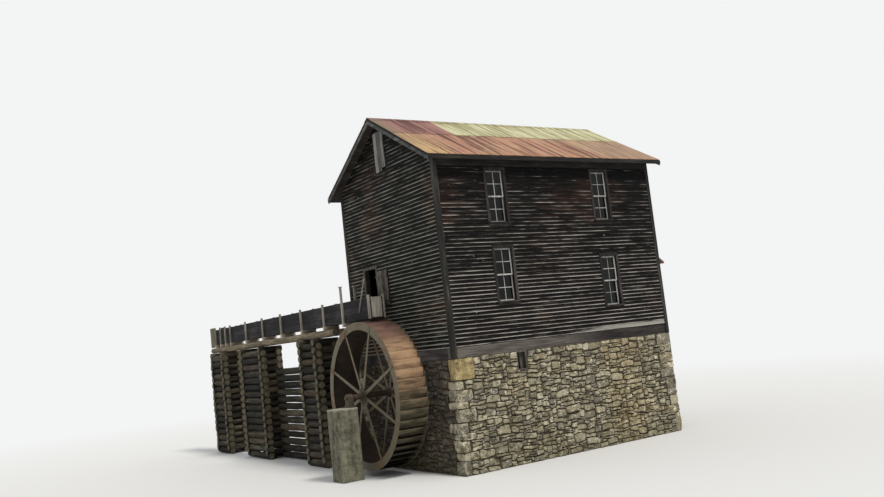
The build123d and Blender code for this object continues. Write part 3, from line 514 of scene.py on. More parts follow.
def joint_finish():
    """The dark earthy mortar between the stones."""
    finish = Finish("joint_earth")
    grit = finish.cloud(30, 6, 0.7)
    colour = finish.blend(finish.rise(grit, 0.3, 0.7), (36, 33, 27), (88, 80, 65))
    return finish.shade(colour, 0.95, grit, 0.01, gloss=0.1)


def concrete_finish():
    """Stained concrete with pores, the marks of its form boards and a pale top that is a painted highlight.
    """
    finish = Finish("old_concrete")
    sand = finish.cloud(60, 6, 0.7)
    stain = finish.streaks("z", 1.2, 4, 8, 0.65)
    blotch = finish.cloud(7, 7, 0.7)
    tone = stain * 0.5 + blotch * 0.5 + (sand - 0.5) * 0.3
    colour = finish.blend(finish.rise(tone, 0.36, 0.64), (64, 62, 50), (130, 127, 108))
    pores = finish.rise(finish.cloud(34, 3, 0.6), 0.36, 0.30)
    colour = finish.blend(pores * 0.6, colour, (48, 46, 38))
    board_mark = finish.maths("PINGPONG", finish.axis("Z"), form_board / 2)
    mark = finish.rise(board_mark + (blotch - 0.5) * 0.008, 0.006, 0.0) * 0.5
    colour = finish.blend(mark, colour, (56, 53, 43))
    # Painted highlight: the top few centimetres of the pier are paler, as where light falls on its top.
    top = finish.rise(finish.axis("Z") + (stain - 0.5) * 0.1, pier_top - 0.06, pier_top) * 0.6
    colour = finish.blend(top, colour, (182, 178, 158))
    return finish.shade(colour, 0.9, sand + blotch - pores - mark, 0.006, gloss=0.3)


joint_earth = joint_finish()
old_concrete = concrete_finish()
print("pier", round(pier_top, 3), "m high, cast in", round(pier_top / form_board, 1), "boards")

# %% [markdown]
# ## Old sheet iron on the roof
# The roof is corrugated iron in two rows. The upper row is dull red at the left end and a faded
# yellow-green along the rest, and the lower row is rusted orange, with brown streaks that run down
# the slope. Where one colour ends and the next begins is a height or a length along the roof, with
# noise to fray it.

# %% The upper row's colours
lap_share = 0.44
wave_pitch = 0.0762
red_end = left_face + 1.85


class SheetNoise:
    """The noises that both rows of sheets share, all drawn out down the slope but for the finest."""

    def __init__(self, finish):
        self.run = finish.streaks("x", 6, 0.35, 7, 0.7)
        self.line = finish.streaks("x", 13, 0.3, 4, 0.6)
        self.thread = finish.streaks("x", 24, 0.4, 3, 0.6)
        self.broad = finish.streaks("x", 1.4, 0.8, 4)
        self.fine = finish.cloud(26, 6, 0.7)
        sheet = finish.carried("tone")
        streak = self.run * 0.45 + self.line * 0.55
        self.streak = streak + (sheet - 0.5) * 0.10 + (self.fine - 0.5) * 0.09


def upper_row_colour(finish, noises, x, rake):
    """Yellow-green that has faded, and dull red at the left end."""
    line, streak = noises.line, noises.streak
    worn = streak * 0.5 + noises.thread * 0.5
    faded = finish.blend(finish.rise(worn, 0.44, 0.54), (146, 140, 96), (220, 217, 176))
    thin_rust = finish.rise(line + (noises.broad - 0.5) * 0.5, 0.46, 0.38)
    faded = finish.blend(thin_rust * 0.65, faded, (132, 112, 74))
    maroon = finish.blend(finish.rise(streak, 0.43, 0.56), (98, 60, 58), (168, 122, 112))
    maroon = finish.blend(rake, maroon, (132, 116, 98))
    is_red = finish.rise(x + (line - 0.5) * 0.16, red_end + 0.03, red_end - 0.03)
    return finish.blend(is_red, faded, maroon)


# %% The lower row's colours
def lower_row_colour(finish, noises, x, rake, out, lap):
    """Orange rust, ochre at the left end and paler at the right, with dark runs down the slope."""
    line, broad, fine, streak = noises.line, noises.broad, noises.fine, noises.streak
    rust = finish.blend(finish.rise(streak, 0.45, 0.54), (104, 64, 54), (192, 142, 116))
    tan_patch = finish.rise(broad * 0.5 + line * 0.5, 0.50, 0.58) * 0.6
    rust = finish.blend(tan_patch, rust, (206, 172, 132))
    tan_run = finish.rise(line + (fine - 0.5) * 0.2, 0.56, 0.66) * 0.55
    rust = finish.blend(tan_run, rust, (212, 180, 142))
    ochre_at = x + (broad - 0.5) * 1.6 + (line - 0.5) * 2.6 - (out - lap) * 0.35
    ochre_end = finish.rise(ochre_at, left_face + 0.6, left_face - 0.3)
    ochre = finish.blend(finish.rise(streak, 0.46, 0.53), (132, 84, 58), (210, 180, 128))
    rust = finish.blend(ochre_end * 0.85, rust, ochre)
    pale_end = finish.rise(x + (broad - 0.5) * 3 + (line - 0.5) * 2, right_face - 3.4, right_face - 0.6)
    rust = finish.blend(pale_end * 0.55, rust, (176, 156, 130))
    dark_run = finish.rise(streak + (fine - 0.5) * 0.12, 0.462, 0.41) * 0.75
    rust = finish.blend(dark_run, rust, (92, 64, 53))
    at_rake = rake * finish.rise(out, lap + 1.5, lap + 0.3) * 0.8
    rust = finish.blend(at_rake, rust, (150, 124, 100))
    rust = finish.blend(finish.rise(noises.thread, 0.46, 0.38) * 0.4, rust, (112, 74, 60))
    rim = finish.rise(out, roof_reach - 0.22, roof_reach) * finish.rise(line, 0.45, 0.6) * 0.5
    return finish.blend(rim, rust, (204, 150, 98))


# %% Roof sheet finish
def sheet_iron():
    """Corrugated iron: its colour changes from sheet to sheet, by row and along the roof."""
    finish = Finish("rusty_roof_sheet")
    x = finish.axis("X")
    noises = SheetNoise(finish)
    run, line, fine = noises.run, noises.line, noises.fine
    out = finish.maths("ABSOLUTE", finish.axis("Y") - ridge_y)
    lap = roof_reach * lap_share
    rake = finish.rise(x + (run - 0.5) * 1.0 + (line - 0.5) * 0.8, left_face + 0.25, left_face - 0.25)
    upper = upper_row_colour(finish, noises, x, rake)
    lower = lower_row_colour(finish, noises, x, rake, out, lap)
    is_lower = finish.rise(out + (line - 0.5) * 0.45 + (fine - 0.5) * 0.1, lap - 0.03, lap + 0.03)
    colour = finish.blend(is_lower, upper, lower)

    # Darker valleys between the waves: rust and dirt that gather there, with painted shade for the
    # corrugations.
    valley = (1 - finish.maths("SINE", x * (2 * math.pi / wave_pitch))) * 0.5
    valley_dirt_and_shade = finish.rise(valley + (line - 0.5) * 1.8, 0.25, 1.05) * 0.5
    colour = finish.blend(valley_dirt_and_shade, colour, (92, 74, 58))
    at_lap = finish.rise(finish.maths("ABSOLUTE", out - lap), 0.05, 0.0) * finish.rise(fine, 0.35, 0.6) * 0.5
    colour = finish.blend(at_lap, colour, (110, 78, 58))
    colour = finish.blend(finish.rise(fine, 0.6, 0.8) * 0.3, colour, (88, 58, 44))
    roughness = 0.7 + (fine - 0.5) * 0.3
    return finish.shade(colour, roughness, fine * 0.6 + run, 0.001, gloss=0.3)


roof_iron = sheet_iron()
print("upper row", round(roof_reach * lap_share, 2), "m deep, red up to", round(red_end - left_face, 2), "m")


# %% Iron of the lean-to and of the wheel
def shed_iron_finish():
    """The lean-to's sheets: brown rust that has run down the slope."""
    finish = Finish("rusty_shed_sheet")
    streak = finish.streaks("y", 8, 0.6, 6, 0.7)
    fine = finish.cloud(26, 6, 0.7)
    colour = finish.blend(finish.rise(streak, 0.38, 0.62), (92, 62, 50), (150, 112, 86))
    colour = finish.blend(finish.rise(fine + (streak - 0.5), 0.56, 0.72) * 0.5, colour, (72, 52, 44))
    return finish.shade(colour, 0.75 + (fine - 0.5) * 0.2, fine + streak, 0.001, gloss=0.3)


shed_roof_iron = shed_iron_finish()


def rust_finish(name, sound, rust, deep, rust_amount, metallic=0.5, scale=7.0):
    """Iron that was painted or bare and has rusted in patches."""
    finish = Finish(name)
    patch = finish.cloud(scale, 7, 0.62)
    pit = finish.cloud(scale * 9, 5, 0.7)
    broad = finish.cloud(scale * 0.2, 2)
    rusted = finish.rise(patch + (broad - 0.5) * 0.6 + rust_amount - 0.5, 0.42, 0.6)
    colour = finish.blend(rusted, sound, rust)
    colour = finish.blend(finish.rise(pit + (patch - 0.5), 0.58, 0.75) * 0.7, colour, deep)
    shine = 0.55 + rusted * 0.3 + (pit - 0.5) * 0.2
    return finish.shade(colour, shine, pit + patch * 0.5, 0.0012, (1 - rusted) * metallic)


wheel_iron = rust_finish("wheel_iron", (98, 90, 68), (104, 80, 58), (62, 48, 38), 0.42, 0.15)
sole_iron = rust_finish("sole_iron", (52, 46, 38), (66, 50, 40), (34, 28, 23), 0.5, 0.1)
shaft_iron = rust_finish("shaft_iron", (66, 60, 50), (80, 60, 46), (40, 32, 26), 0.5, 0.3, 14)


# %% Bucket finish
def bucket_finish():
    """Bucket plates of a wheel that stands still: plum at top, tan with painted sunlit patches, olive,
    painted shade at foot.
    """
    finish = Finish("bucket_iron")
    patch = finish.streaks("x", 1.2, 6, 7, 0.65)
    pit = finish.cloud(50, 5, 0.7)
    broad = finish.cloud(0.9, 2)
    level = (finish.axis("Z") - axle_z) / wheel_radius + (patch - 0.5) * 0.5 + (broad - 0.5) * 0.3
    sunlit = finish.rise(patch + (broad - 0.5) * 0.5, 0.34, 0.66)
    tan = finish.blend(sunlit, (112, 86, 66), (182, 148, 114))
    olive = finish.blend(finish.rise(patch, 0.36, 0.64), (66, 61, 47), (124, 114, 90))
    plum = finish.blend(finish.rise(patch, 0.36, 0.64), (80, 58, 52), (122, 92, 80))
    colour = finish.blend(finish.rise(level, 0.30, -0.20), tan, olive)
    # Painted shade: the lowest plates are darkened nearly to black.
    colour = finish.blend(finish.rise(level, -0.25, -0.75) * 0.8, colour, (34, 32, 26))
    colour = finish.blend(finish.rise(level, 0.62, 0.85), colour, plum)
    colour = finish.blend(finish.rise(pit + (patch - 0.5), 0.56, 0.74) * 0.5, colour, (66, 48, 37))
    return finish.shade(colour, 0.78 + (pit - 0.5) * 0.2, pit + patch * 0.5, 0.0012, gloss=0.3)


bucket_iron = bucket_finish()
print("bucket colours run over", round(2 * wheel_radius, 2), "m of wheel")

# %% [markdown]
# ## Window glass
# The panes are thin, dusty and dark, because the room behind them is dark. A glass shader alone
# would look as pale as the backdrop; a dark glossy pane with a film of dust reads as an old window
# from any side.

# %% Glass finish
def pane_finish():
    """A dark pane with dust on it and a ripple in it."""
    finish = Finish("old_pane")
    film = finish.streaks("z", 3, 5, 5)
    ripple = finish.cloud(7, 1)
    colour = finish.blend(finish.rise(film, 0.55, 0.85) * 0.5, (9, 10, 11), (52, 55, 56))
    roughness = 0.08 + finish.rise(film, 0.4, 0.8) * 0.35
    return finish.shade(colour, roughness, ripple, 0.003, gloss=0.2)


old_pane = pane_finish()
print(len(bpy.data.materials), "finishes so far")

# %% [markdown]
# ## Meshes made from many small pieces
# A wall has hundreds of boards and a foundation has hundreds of stones. Blender is quick when they
# are one mesh, so a Shape gathers corners and faces piece by piece and becomes one object at the
# end. Each face carries a tone, which the finishes read to set one board apart from the next. Every
# random choice has a seed. So has Blender's noise, which would otherwise differ from run to run.

# %% Directions and planes of the walls
noise.seed_set(17)
east, north, up = Vector((1, 0, 0)), Vector((0, 1, 0)), Vector((0, 0, 1))


def wall_plane(place, run, out):
    """A wall's plane: a point of it, where it runs to, and where it faces."""
    return Vector(place), run, out


front_plane = wall_plane((0, front_face, 0), east, -north)
back_plane = wall_plane((0, back_face, 0), east, north)
left_plane = wall_plane((left_face, 0, 0), north, -east)
right_plane = wall_plane((right_face, 0, 0), north, east)
print("four walls, the front one facing", tuple(front_plane[2]))


# %% Shape
class Shape:
    """Corners and faces of one joined mesh; rims are values on its corners, tones on its faces."""

    def __init__(self):
        self.points = []
        self.faces = []
        self.tones = []
        self.finishes = []
        self.rims = []

    def add(self, points, faces, tone, finish=0, rims=None):
        """One more small piece; finish is the number of its material, or one number for each face."""
        first = len(self.points)
        self.points.extend(points)
        self.rims.extend(rims or [0.0] * len(points))
        self.faces.extend([first + corner for corner in face] for face in faces)
        self.tones.extend([tone] * len(faces))
        if isinstance(finish, int):
            finish = [finish] * len(faces)
        self.finishes.extend(finish)


def tube_sides(rings, count):
    """The side faces of a tube whose rings of points follow one another, count points to a ring."""
    faces = []
    for base in range(0, (rings - 1) * count, count):
        for corner in range(count):
            after = (corner + 1) % count
            faces.append((base + corner, base + after, base + count + after, base + count + corner))
    return faces


# %% From a shape to a piece
def make_piece(name, shape, materials, replaced=(), crease=35, body="mill"):
    """Turns a shape into an object that rides on a body, takes the given finishes and hides the CAD nodes it
    replaces.
    """
    mesh = bpy.data.meshes.new(name)
    mesh.from_pydata(shape.points, [], shape.faces)
    mesh.attributes.new("tone", "FLOAT", "FACE").data.foreach_set("value", shape.tones)
    mesh.attributes.new("rim", "FLOAT", "POINT").data.foreach_set("value", shape.rims)
    mesh.polygons.foreach_set("material_index", shape.finishes)
    outward = bmesh.new()
    outward.from_mesh(mesh)
    bmesh.ops.recalc_face_normals(outward, faces=outward.faces)
    outward.to_mesh(mesh)
    outward.free()
    mesh.polygons.foreach_set("use_smooth", [True] * len(mesh.polygons))
    mesh.set_sharp_from_angle(angle=math.radians(crease))
    for material in materials:
        mesh.materials.append(material)
    piece = bpy.data.objects.new(name, mesh)
    bpy.context.scene.collection.objects.link(piece)
    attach(piece, body)
    if replaced:
        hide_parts(*replaced)
    print(name, sum(len(face) - 2 for face in shape.faces), "triangles")


# %% [markdown]
# ## A sawn board
# Boards, battens and posts differ only in size, so they share one maker: an eight-sided section
# with eased edges, carried along the board with a little unevenness at each station.

# %% Sawn board
plank_step = 0.6


def plank(shape, dice, start, run, across, out, size, ease=0.004, rough=0.0015):
    """A sawn board from start; size is its length, width and thickness along run, across and out."""
    length, width, thick = size
    section = [
        (ease, 0), (width - ease, 0), (width, ease), (width, thick - ease),
        (width - ease, thick), (ease, thick), (0, thick - ease), (0, ease),
    ]
    stations = max(1, round(length / plank_step))
    points = []
    for station in range(stations + 1):
        middle = start + run * (length * station / stations)
        lift = dice.uniform(-rough, rough)
        for side, depth in section:
            sideways = side + dice.uniform(-rough, rough) * 0.5 + lift
            outward = depth + dice.uniform(-rough, rough) * 0.5
            points.append(middle + across * sideways + out * outward)
    faces = tube_sides(stations + 1, 8)
    faces.append(tuple(range(8)))
    faces.append(tuple(stations * 8 + corner for corner in range(7, -1, -1)))
    shape.add(points, faces, dice.random())


# %% [markdown]
# ## Clapboards
# Each course is a row of tapered boards, thick at the foot and thin at the top, nailed over the
# course below. A course is cut wherever an opening crosses it, and under the roof its ends follow
# the slope. The boards' lengths are random, so the butt joints never line up.

# %% Runs of wall between openings
shortest_run = 0.03


def clear_runs(low, high, gaps):
    """The parts of low to high that no gap covers."""
    runs = []
    reached = low
    for gap_low, gap_high in sorted(gaps):
        if gap_low > reached:
            runs.append((reached, min(gap_low, high)))
        reached = max(reached, gap_high)
    if reached < high:
        runs.append((reached, high))
    return [run for run in runs if run[1] - run[0] > shortest_run]


# %% One clapboard
butt_thickness = 0.017
top_thickness = 0.003
board_lengths = (1.9, 3.7)
clapboard_step = 0.45


def clapboard(shape, dice, plane, foot_ends, top_ends, low, high):
    """One tapered board; its foot and top may end at different places, as under a roof slope."""
    face, run, out = plane
    stations = max(1, round((foot_ends[1] - foot_ends[0]) / clapboard_step))
    sag = dice.uniform(-0.003, 0.003)
    points = []
    for station in range(stations + 1):
        share = station / stations
        foot = foot_ends[0] + (foot_ends[1] - foot_ends[0]) * share
        top = top_ends[0] + (top_ends[1] - top_ends[0]) * share
        worn = dice.uniform(0, 0.004) + max(0, sag) * math.sin(math.pi * share)
        if dice.random() < 0.03:
            worn += dice.uniform(0.004, 0.016)
        proud = butt_thickness + dice.uniform(-0.002, 0.004) + sag
        points.append(face + run * foot + up * (low + worn))
        points.append(face + run * foot + up * (low + worn) + out * proud)
        points.append(face + run * top + up * high + out * top_thickness)
        points.append(face + run * top + up * high)
    faces = tube_sides(stations + 1, 4)
    faces.append((0, 1, 2, 3))
    faces.append(tuple(stations * 4 + corner for corner in (3, 2, 1, 0)))
    shape.add(points, faces, dice.random())


# %% A wall of clapboards
shortest_board = 0.5
butt_gap = 0.002


def clapboard_wall(name, seed, plane, ends, holes, top, material):
    """All the clapboards of one wall; ends(z) gives the wall's two ends at a height."""
    dice = random.Random(seed)
    shape = Shape()
    low = clapboard_foot
    while low < top - 0.02:
        high = min(low + clapboard_gauge, top)
        foot_ends, top_ends = ends(low), ends(high)
        gaps = [(hole[0], hole[1]) for hole in holes if hole[2] < high and hole[3] > low]
        for start, stop in clear_runs(*foot_ends, gaps):
            at = start
            while at < stop:
                after = at + dice.uniform(*board_lengths)
                if stop - after < shortest_board:
                    after = stop
                cut_low = top_ends[0] if at == foot_ends[0] else at
                cut_high = top_ends[1] if after == foot_ends[1] else after
                if cut_low < cut_high:
                    feet, tops = (at, after - butt_gap), (cut_low, cut_high - butt_gap)
                    clapboard(shape, dice, plane, feet, tops, low, high)
                at = after
        low += clapboard_gauge
    make_piece(name, shape, [material], crease=20)


# %% [markdown]
# The openings are named once and serve the boards and the windows alike. Clapboards stop at the
# middle of a casing, so their ends are hidden in it, as on a real wall.

# %% Openings
window_width, window_height = 0.60, 1.50
casing_width, casing_proud = 0.09, 0.032
jamb_thickness, wall_thickness = 0.03, 0.14
sill_board_proud, sill_board_height = 0.07, 0.045
sash_width, sash_depth, sash_setback = 0.042, 0.034, 0.045
bar_width, bar_depth = 0.020, 0.024
corner_leg = 0.11
window_columns = [left_face + 2.04, left_face + 6.06]
upper_sill = foundation_top + 3.68
lower_sills = [foundation_top + 1.43, foundation_top + 1.04]
front_windows = list(zip(window_columns, lower_sills)) + [(column, upper_sill) for column in window_columns]
back_windows = [(column, sill) for column in window_columns for sill in (lower_sills[0], upper_sill)]
side_windows = [(ridge_y, upper_sill)]


def window_holes(windows):
    """Where boards stop: half a casing outside the glass, all round."""
    half = window_width / 2 + casing_width / 2
    return [
        (centre - half, centre + half, sill - casing_width / 2, sill + window_height + casing_width / 2)
        for centre, sill in windows
    ]


print(len(front_windows) + len(back_windows) + len(side_windows), "windows")

# %% Clapboards on the long walls
tuck = 0.01
frieze_depth = 0.30
long_ends = (left_face + corner_leg - tuck, right_face - corner_leg + tuck)
frieze_foot = soffit(front_face - corner_proud) - frieze_depth
clapboard_wall(
    "clapboards_front", 11, front_plane,
    lambda z: long_ends, window_holes(front_windows), frieze_foot + tuck, front_clapboard,
)
clapboard_wall(
    "clapboards_back", 12, back_plane,
    lambda z: long_ends, window_holes(back_windows), frieze_foot + tuck, front_clapboard,
)

# %% Clapboards on the gables
def gable_ends(z):
    """Where a gable ends at a height: at its corner boards, or higher up at the roof."""
    reach = (soffit(ridge_y) - z) / roof_slope
    inner = corner_leg - tuck
    return (max(front_face + inner, ridge_y - reach), min(back_face - inner, ridge_y + reach))


def casing_hole(node):
    """The middle line of a casing, as a hole in a gable's boards."""
    low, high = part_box(node)
    return (low.y + casing_width / 2, high.y - casing_width / 2, low.z, high.z - casing_width / 2)


shutter_hole = (shutter_low.y + 0.02, shutter_high.y - 0.02, shutter_low.z + 0.12, shutter_high.z)
lean_low, lean_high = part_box("lean_to_roof")
lean_hole = (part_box("lean_to_end_walls")[0].y, back_face, 0, lean_high.z - 0.03)
gable_top = soffit(ridge_y) - 0.02
clapboard_wall(
    "clapboards_left_gable", 13, left_plane,
    gable_ends, [casing_hole("hatch_frame"), shutter_hole], gable_top, gable_clapboard,
)
clapboard_wall(
    "clapboards_right_gable", 14, right_plane,
    gable_ends, window_holes(side_windows) + [shutter_hole, lean_hole], gable_top, gable_clapboard,
)

# %% [markdown]
# ## Windows
# Each window has a dark weathered casing and a pair of pale sashes, with one upright and one level
# bar in each, so a sash shows four panes. The lower sash slides behind the upper one. Casing and
# sash are separate pieces, because only the sashes still have their paint.

# %% Window frames, sashes and bars
sash_edge, bar_edge = (0.003, 0.0006), (0.003, 0.0005)


def window(casings, sashes, dice, plane, centre, sill):
    """One window; a board's corner is given by its places along the wall, in height and outward."""
    face, run, out = plane

    def upright(shape, side, height, depth, size, *edge):
        start = face + run * (centre + side) + up * height + out * depth
        plank(shape, dice, start, up, run, out, size, *edge)

    def level(shape, side, height, depth, size, *edge):
        start = face + run * (centre + side) + up * height + out * depth
        plank(shape, dice, start, run, up, out, size, *edge)

    half = window_width / 2
    top = sill + window_height
    left = -half - casing_width
    full = window_width + 2 * casing_width
    for side in (left, half):
        upright(casings, side, sill, 0, (window_height, casing_width, casing_proud))
    level(casings, left, top, 0, (full, casing_width, casing_proud))
    level(casings, left, sill - sill_board_height, 0, (full, sill_board_height, sill_board_proud))
    apron_height = casing_width - sill_board_height - 0.001
    level(casings, left, sill - casing_width, 0, (full, apron_height, casing_proud))
    for side in (-half - jamb_thickness, half):
        upright(casings, side, sill, -wall_thickness, (window_height, jamb_thickness, wall_thickness))
    lining = (window_width + 2 * jamb_thickness, jamb_thickness, wall_thickness)
    for height in (sill - jamb_thickness, top):
        level(casings, -half - jamb_thickness, height, -wall_thickness, lining)

    sash_height = window_height / 2 + sash_width / 2
    inner = window_width - 2 * sash_width
    for foot, setback in ((top - sash_height, sash_setback), (sill, sash_setback + sash_depth)):
        back = -setback - sash_depth
        for side in (-half, half - sash_width):
            upright(sashes, side, foot, back, (sash_height, sash_width, sash_depth), *sash_edge)
        for height in (foot, foot + sash_height - sash_width):
            level(sashes, -half + sash_width, height, back, (inner, sash_width, sash_depth), *sash_edge)
        middle = foot + sash_height / 2
        bar_back = back + (sash_depth - bar_depth) / 2
        upright_bar = (sash_height - 2 * sash_width, bar_width, bar_depth)
        upright(sashes, -bar_width / 2, foot + sash_width, bar_back, upright_bar, *bar_edge)
        level_bar = (inner, bar_width, bar_depth)
        level(sashes, -half + sash_width, middle - bar_width / 2, bar_back, level_bar, *bar_edge)


# %% All the windows
casing_shape, sash_shape = Shape(), Shape()
window_dice = random.Random(15)
window_walls = ((front_plane, front_windows), (back_plane, back_windows), (right_plane, side_windows))
for plane, places in window_walls:
    for centre, sill in places:
        window(casing_shape, sash_shape, window_dice, plane, centre, sill)
make_piece("window_casings", casing_shape, [casing_wood], ["window_frames"])
make_piece("window_sashes", sash_shape, [sash_paint])

# %% [markdown]
# ## Rubble walls
# A rubble wall has no even courses, yet its stones lie flat and lock together. The wall is divided
# on a fine grid into random oblongs, from its foot up. Then the whole pattern is bent by smooth
# noise, so that neighbours still fit, and each oblong becomes a stone: its corners are rounded off,
# its edges stand in a dark joint, and its face swells out.

# %% Dividing a wall into stones
cell_wide, cell_high = 0.085, 0.060
stone_widths = (1, 2, 2, 3, 3, 4, 4, 5, 6, 7)
stone_heights = (1, 1, 1, 2, 2, 2, 3, 3, 4)


def lay_out_stones(dice, columns, rows, taken):
    """Fills a grid with oblongs; each is (left, low, right, high) in cells."""
    stones = []
    for row in range(rows):
        for column in range(columns):
            if taken[row][column]:
                continue
            free = 1
            while column + free < columns and not taken[row][column + free]:
                free += 1
            wide = min(dice.choice(stone_widths), free)
            if free - wide == 1:
                wide = free if wide < 6 else wide - 1
            high = min(dice.choice(stone_heights), rows - row, wide + 1)
            if rows - row - high == 1:
                high = rows - row
            cells = range(column, column + wide)
            while any(taken[level][cell] for level in range(row, row + high) for cell in cells):
                high -= 1
            for level in range(row, row + high):
                for cell in cells:
                    taken[level][cell] = True
            stones.append((column, row, column + wide, row + high))
    return stones


# %% Bending the pattern
def bend(place, along_wall, height, length, top):
    """A point of the pattern moved by smooth noise, but not at the wall's ends, foot or top."""
    spot = Vector((place.x * 7 + along_wall * 2.6, place.y * 7, height * 3.4))
    near = Vector((place.x * 3 + along_wall * 8.5, place.y * 3, height * 11))
    side = noise.noise(spot) * 0.070 + noise.noise(near) * 0.034
    lift = noise.noise(spot + Vector((41, 7, 3))) * 0.055 + noise.noise(near + Vector((5, 3, 9))) * 0.030
    side *= min(1, along_wall / 0.2, (length - along_wall) / 0.2)
    lift *= min(1, height / 0.15, (top - height) / 0.15)
    return along_wall + side, height + lift


# %% One stone
joint_width = 0.004
point_spacing = (0.085, 0.065)
stone_rings = ((1.0, -0.03), (0.985, 0.6), (0.92, 0.92), (0.58, 1.0))


def stone(shape, dice, wall, oblong, holes):
    """One stone of a wall, from its oblong (left, low, right, high) in metres."""
    face, run, out, length, top, proud_least, proud_most = wall
    left, low, right, high = oblong
    across = max(2, round((right - left) / point_spacing[0]))
    rise = max(2, round((high - low) / point_spacing[1]))
    outline = [(-1 + 2 * i / across, -1) for i in range(across)]
    outline += [(1, -1 + 2 * i / rise) for i in range(rise)]
    outline += [(1 - 2 * i / across, 1) for i in range(across)]
    outline += [(-1, 1 - 2 * i / rise) for i in range(rise)]
    roundness = dice.uniform(0.08, 0.34)
    pulls = [(dice.uniform(0, 0.14), dice.uniform(0, 0.30)) for _ in range(4)]
    middle_x, middle_z = (left + right) / 2, (low + high) / 2
    half_x, half_z = (right - left) / 2, (high - low) / 2
    proud = dice.uniform(proud_least, proud_most)
    tilt_x, tilt_z = dice.uniform(-0.4, 0.4), dice.uniform(-0.3, 0.5)
    wobble = [dice.uniform(0, 0.011) for _ in outline]
    count = len(outline)
    points = []
    for size, depth in stone_rings:
        for (u, v), dent in zip(outline, wobble):
            inset = joint_width / 2 + dent
            shares = [(1 + a * u) * (1 + b * v) / 4 for b in (-1, 1) for a in (-1, 1)]
            pull_u = 1 - sum(share * pull[0] for share, pull in zip(shares, pulls))
            pull_v = 1 - sum(share * pull[1] for share, pull in zip(shares, pulls))
            u_round = u * math.sqrt(1 - v * v * roundness * 0.5) * size * pull_u * (1 - 0.3 * inset / half_x)
            v_round = v * math.sqrt(1 - u * u * roundness * 0.5) * size * pull_v * (1 - inset / half_z)
            x, z = bend(face, middle_x + u_round * half_x, middle_z + v_round * half_z, length, top)
            for hole_left, hole_right, hole_low, hole_high in holes:
                if hole_left < x < hole_right and hole_low < z < hole_high:
                    x = hole_left if x - hole_left < hole_right - x else hole_right
            lean = 1 + tilt_x * u_round + tilt_z * v_round
            swell = depth * proud * lean if depth > 0 else depth * 0.2
            swell += dice.uniform(-0.22, 0.22) * proud * (depth > 0.4)
            points.append(face + run * x + up * z + out * swell)
    centre = sum(points[-count:], Vector()) / count
    points.append(centre + out * dice.uniform(-0.002, 0.004))
    faces = tube_sides(len(stone_rings), count)
    last = (len(stone_rings) - 1) * count
    faces += [(last + corner, last + (corner + 1) % count, len(points) - 1) for corner in range(count)]
    faces.append(tuple(range(count - 1, -1, -1)))
    shape.add(points, faces, dice.random())


# %% Corner blocks
block_cuts = 6
block_bumps = ((3.1, 0.022), (12, 0.012))


def corner_block(shape, dice, low, high, finish, roundness=0.2):
    """A dressed block at a corner, showing two faces: a rounded box with an uneven surface."""
    middle, half = (low + high) / 2, (high - low) / 2
    cuts = block_cuts
    faces = []
    points = []
    seed = Vector((dice.uniform(0, 50), dice.uniform(0, 50), dice.uniform(0, 50)))
    roundness *= dice.uniform(0.6, 1.3)
    for fixed in range(3):
        for sign in (-1, 1):
            first = len(points)
            for i in range(cuts + 1):
                for j in range(cuts + 1):
                    spot = [0.0, 0.0, 0.0]
                    spot[fixed] = sign
                    spot[(fixed + 1) % 3] = math.sin(math.pi / 2 * (-1 + 2 * i / cuts))
                    spot[(fixed + 2) % 3] = math.sin(math.pi / 2 * (-1 + 2 * j / cuts))
                    a, b, c = spot
                    shaped = Vector((
                        a * math.sqrt(1 - roundness * (b * b + c * c) / 2),
                        b * math.sqrt(1 - roundness * (a * a + c * c) / 2),
                        c * math.sqrt(1 - roundness * (a * a + b * b) / 2),
                    ))
                    point = Vector(middle[k] + shaped[k] * half[k] for k in range(3))
                    for scale, depth in block_bumps:
                        point += noise.noise_vector(point * scale + seed) * depth
                    point.z = max(point.z, 0.0)
                    points.append(point)
            for i in range(cuts):
                for j in range(cuts):
                    base = first + i * (cuts + 1) + j
                    faces.append((base, base + 1, base + cuts + 2, base + cuts + 1))
    shape.add(points, faces, dice.random(), finish)


# %% Rubble wall
stones_proud = (0.008, 0.064)


def is_taken(places, along_wall, height):
    """Whether a point of the wall lies in one of the places (left, right, low, high)."""
    return any(left < along_wall < right and low < height < high for left, right, low, high in places)


def rubble_wall(name, seed, plane, ends, top, taken_places, material=sunny_stone):
    """A wall of stones; the places taken, by openings or blocks, are (left, right, low, high)."""
    face, run, out = plane
    dice = random.Random(seed)
    shape = Shape()
    length = ends[1] - ends[0]
    columns, rows = round(length / cell_wide), round(top / cell_high)
    wide, high = length / columns, top / rows
    start = face + run * ends[0]
    shut = [(left - ends[0], right - ends[0], low, upper) for left, right, low, upper in taken_places]
    taken = [
        [is_taken(shut, (column + 0.5) * wide, (row + 0.5) * high) for column in range(columns)]
        for row in range(rows)
    ]
    wall = (start, run, out, length, top, *stones_proud)
    stones = lay_out_stones(dice, columns, rows, taken)
    for left, low, right, upper in stones:
        stone(shape, dice, wall, (left * wide, low * high, right * wide, upper * high), shut)
    print(name, len(stones), "stones")
    make_piece(name, shape, [material], crease=50)


# %% [markdown]
# The corners are tied with larger blocks that show on both faces, long and short by turns. They are
# laid out first, because the rubble has to stop at them.

# %% Corner blocks of the foundation
block_heights = (0.36, 0.20, 0.30, 0.17, 0.26, 0.34, 0.19, 0.29, 0.22, 0.56)
long_arm, short_arm = 0.50, 0.30
arm_play = 0.12
block_proud = 0.030
bed_joint, head_joint = 0.006, 0.01


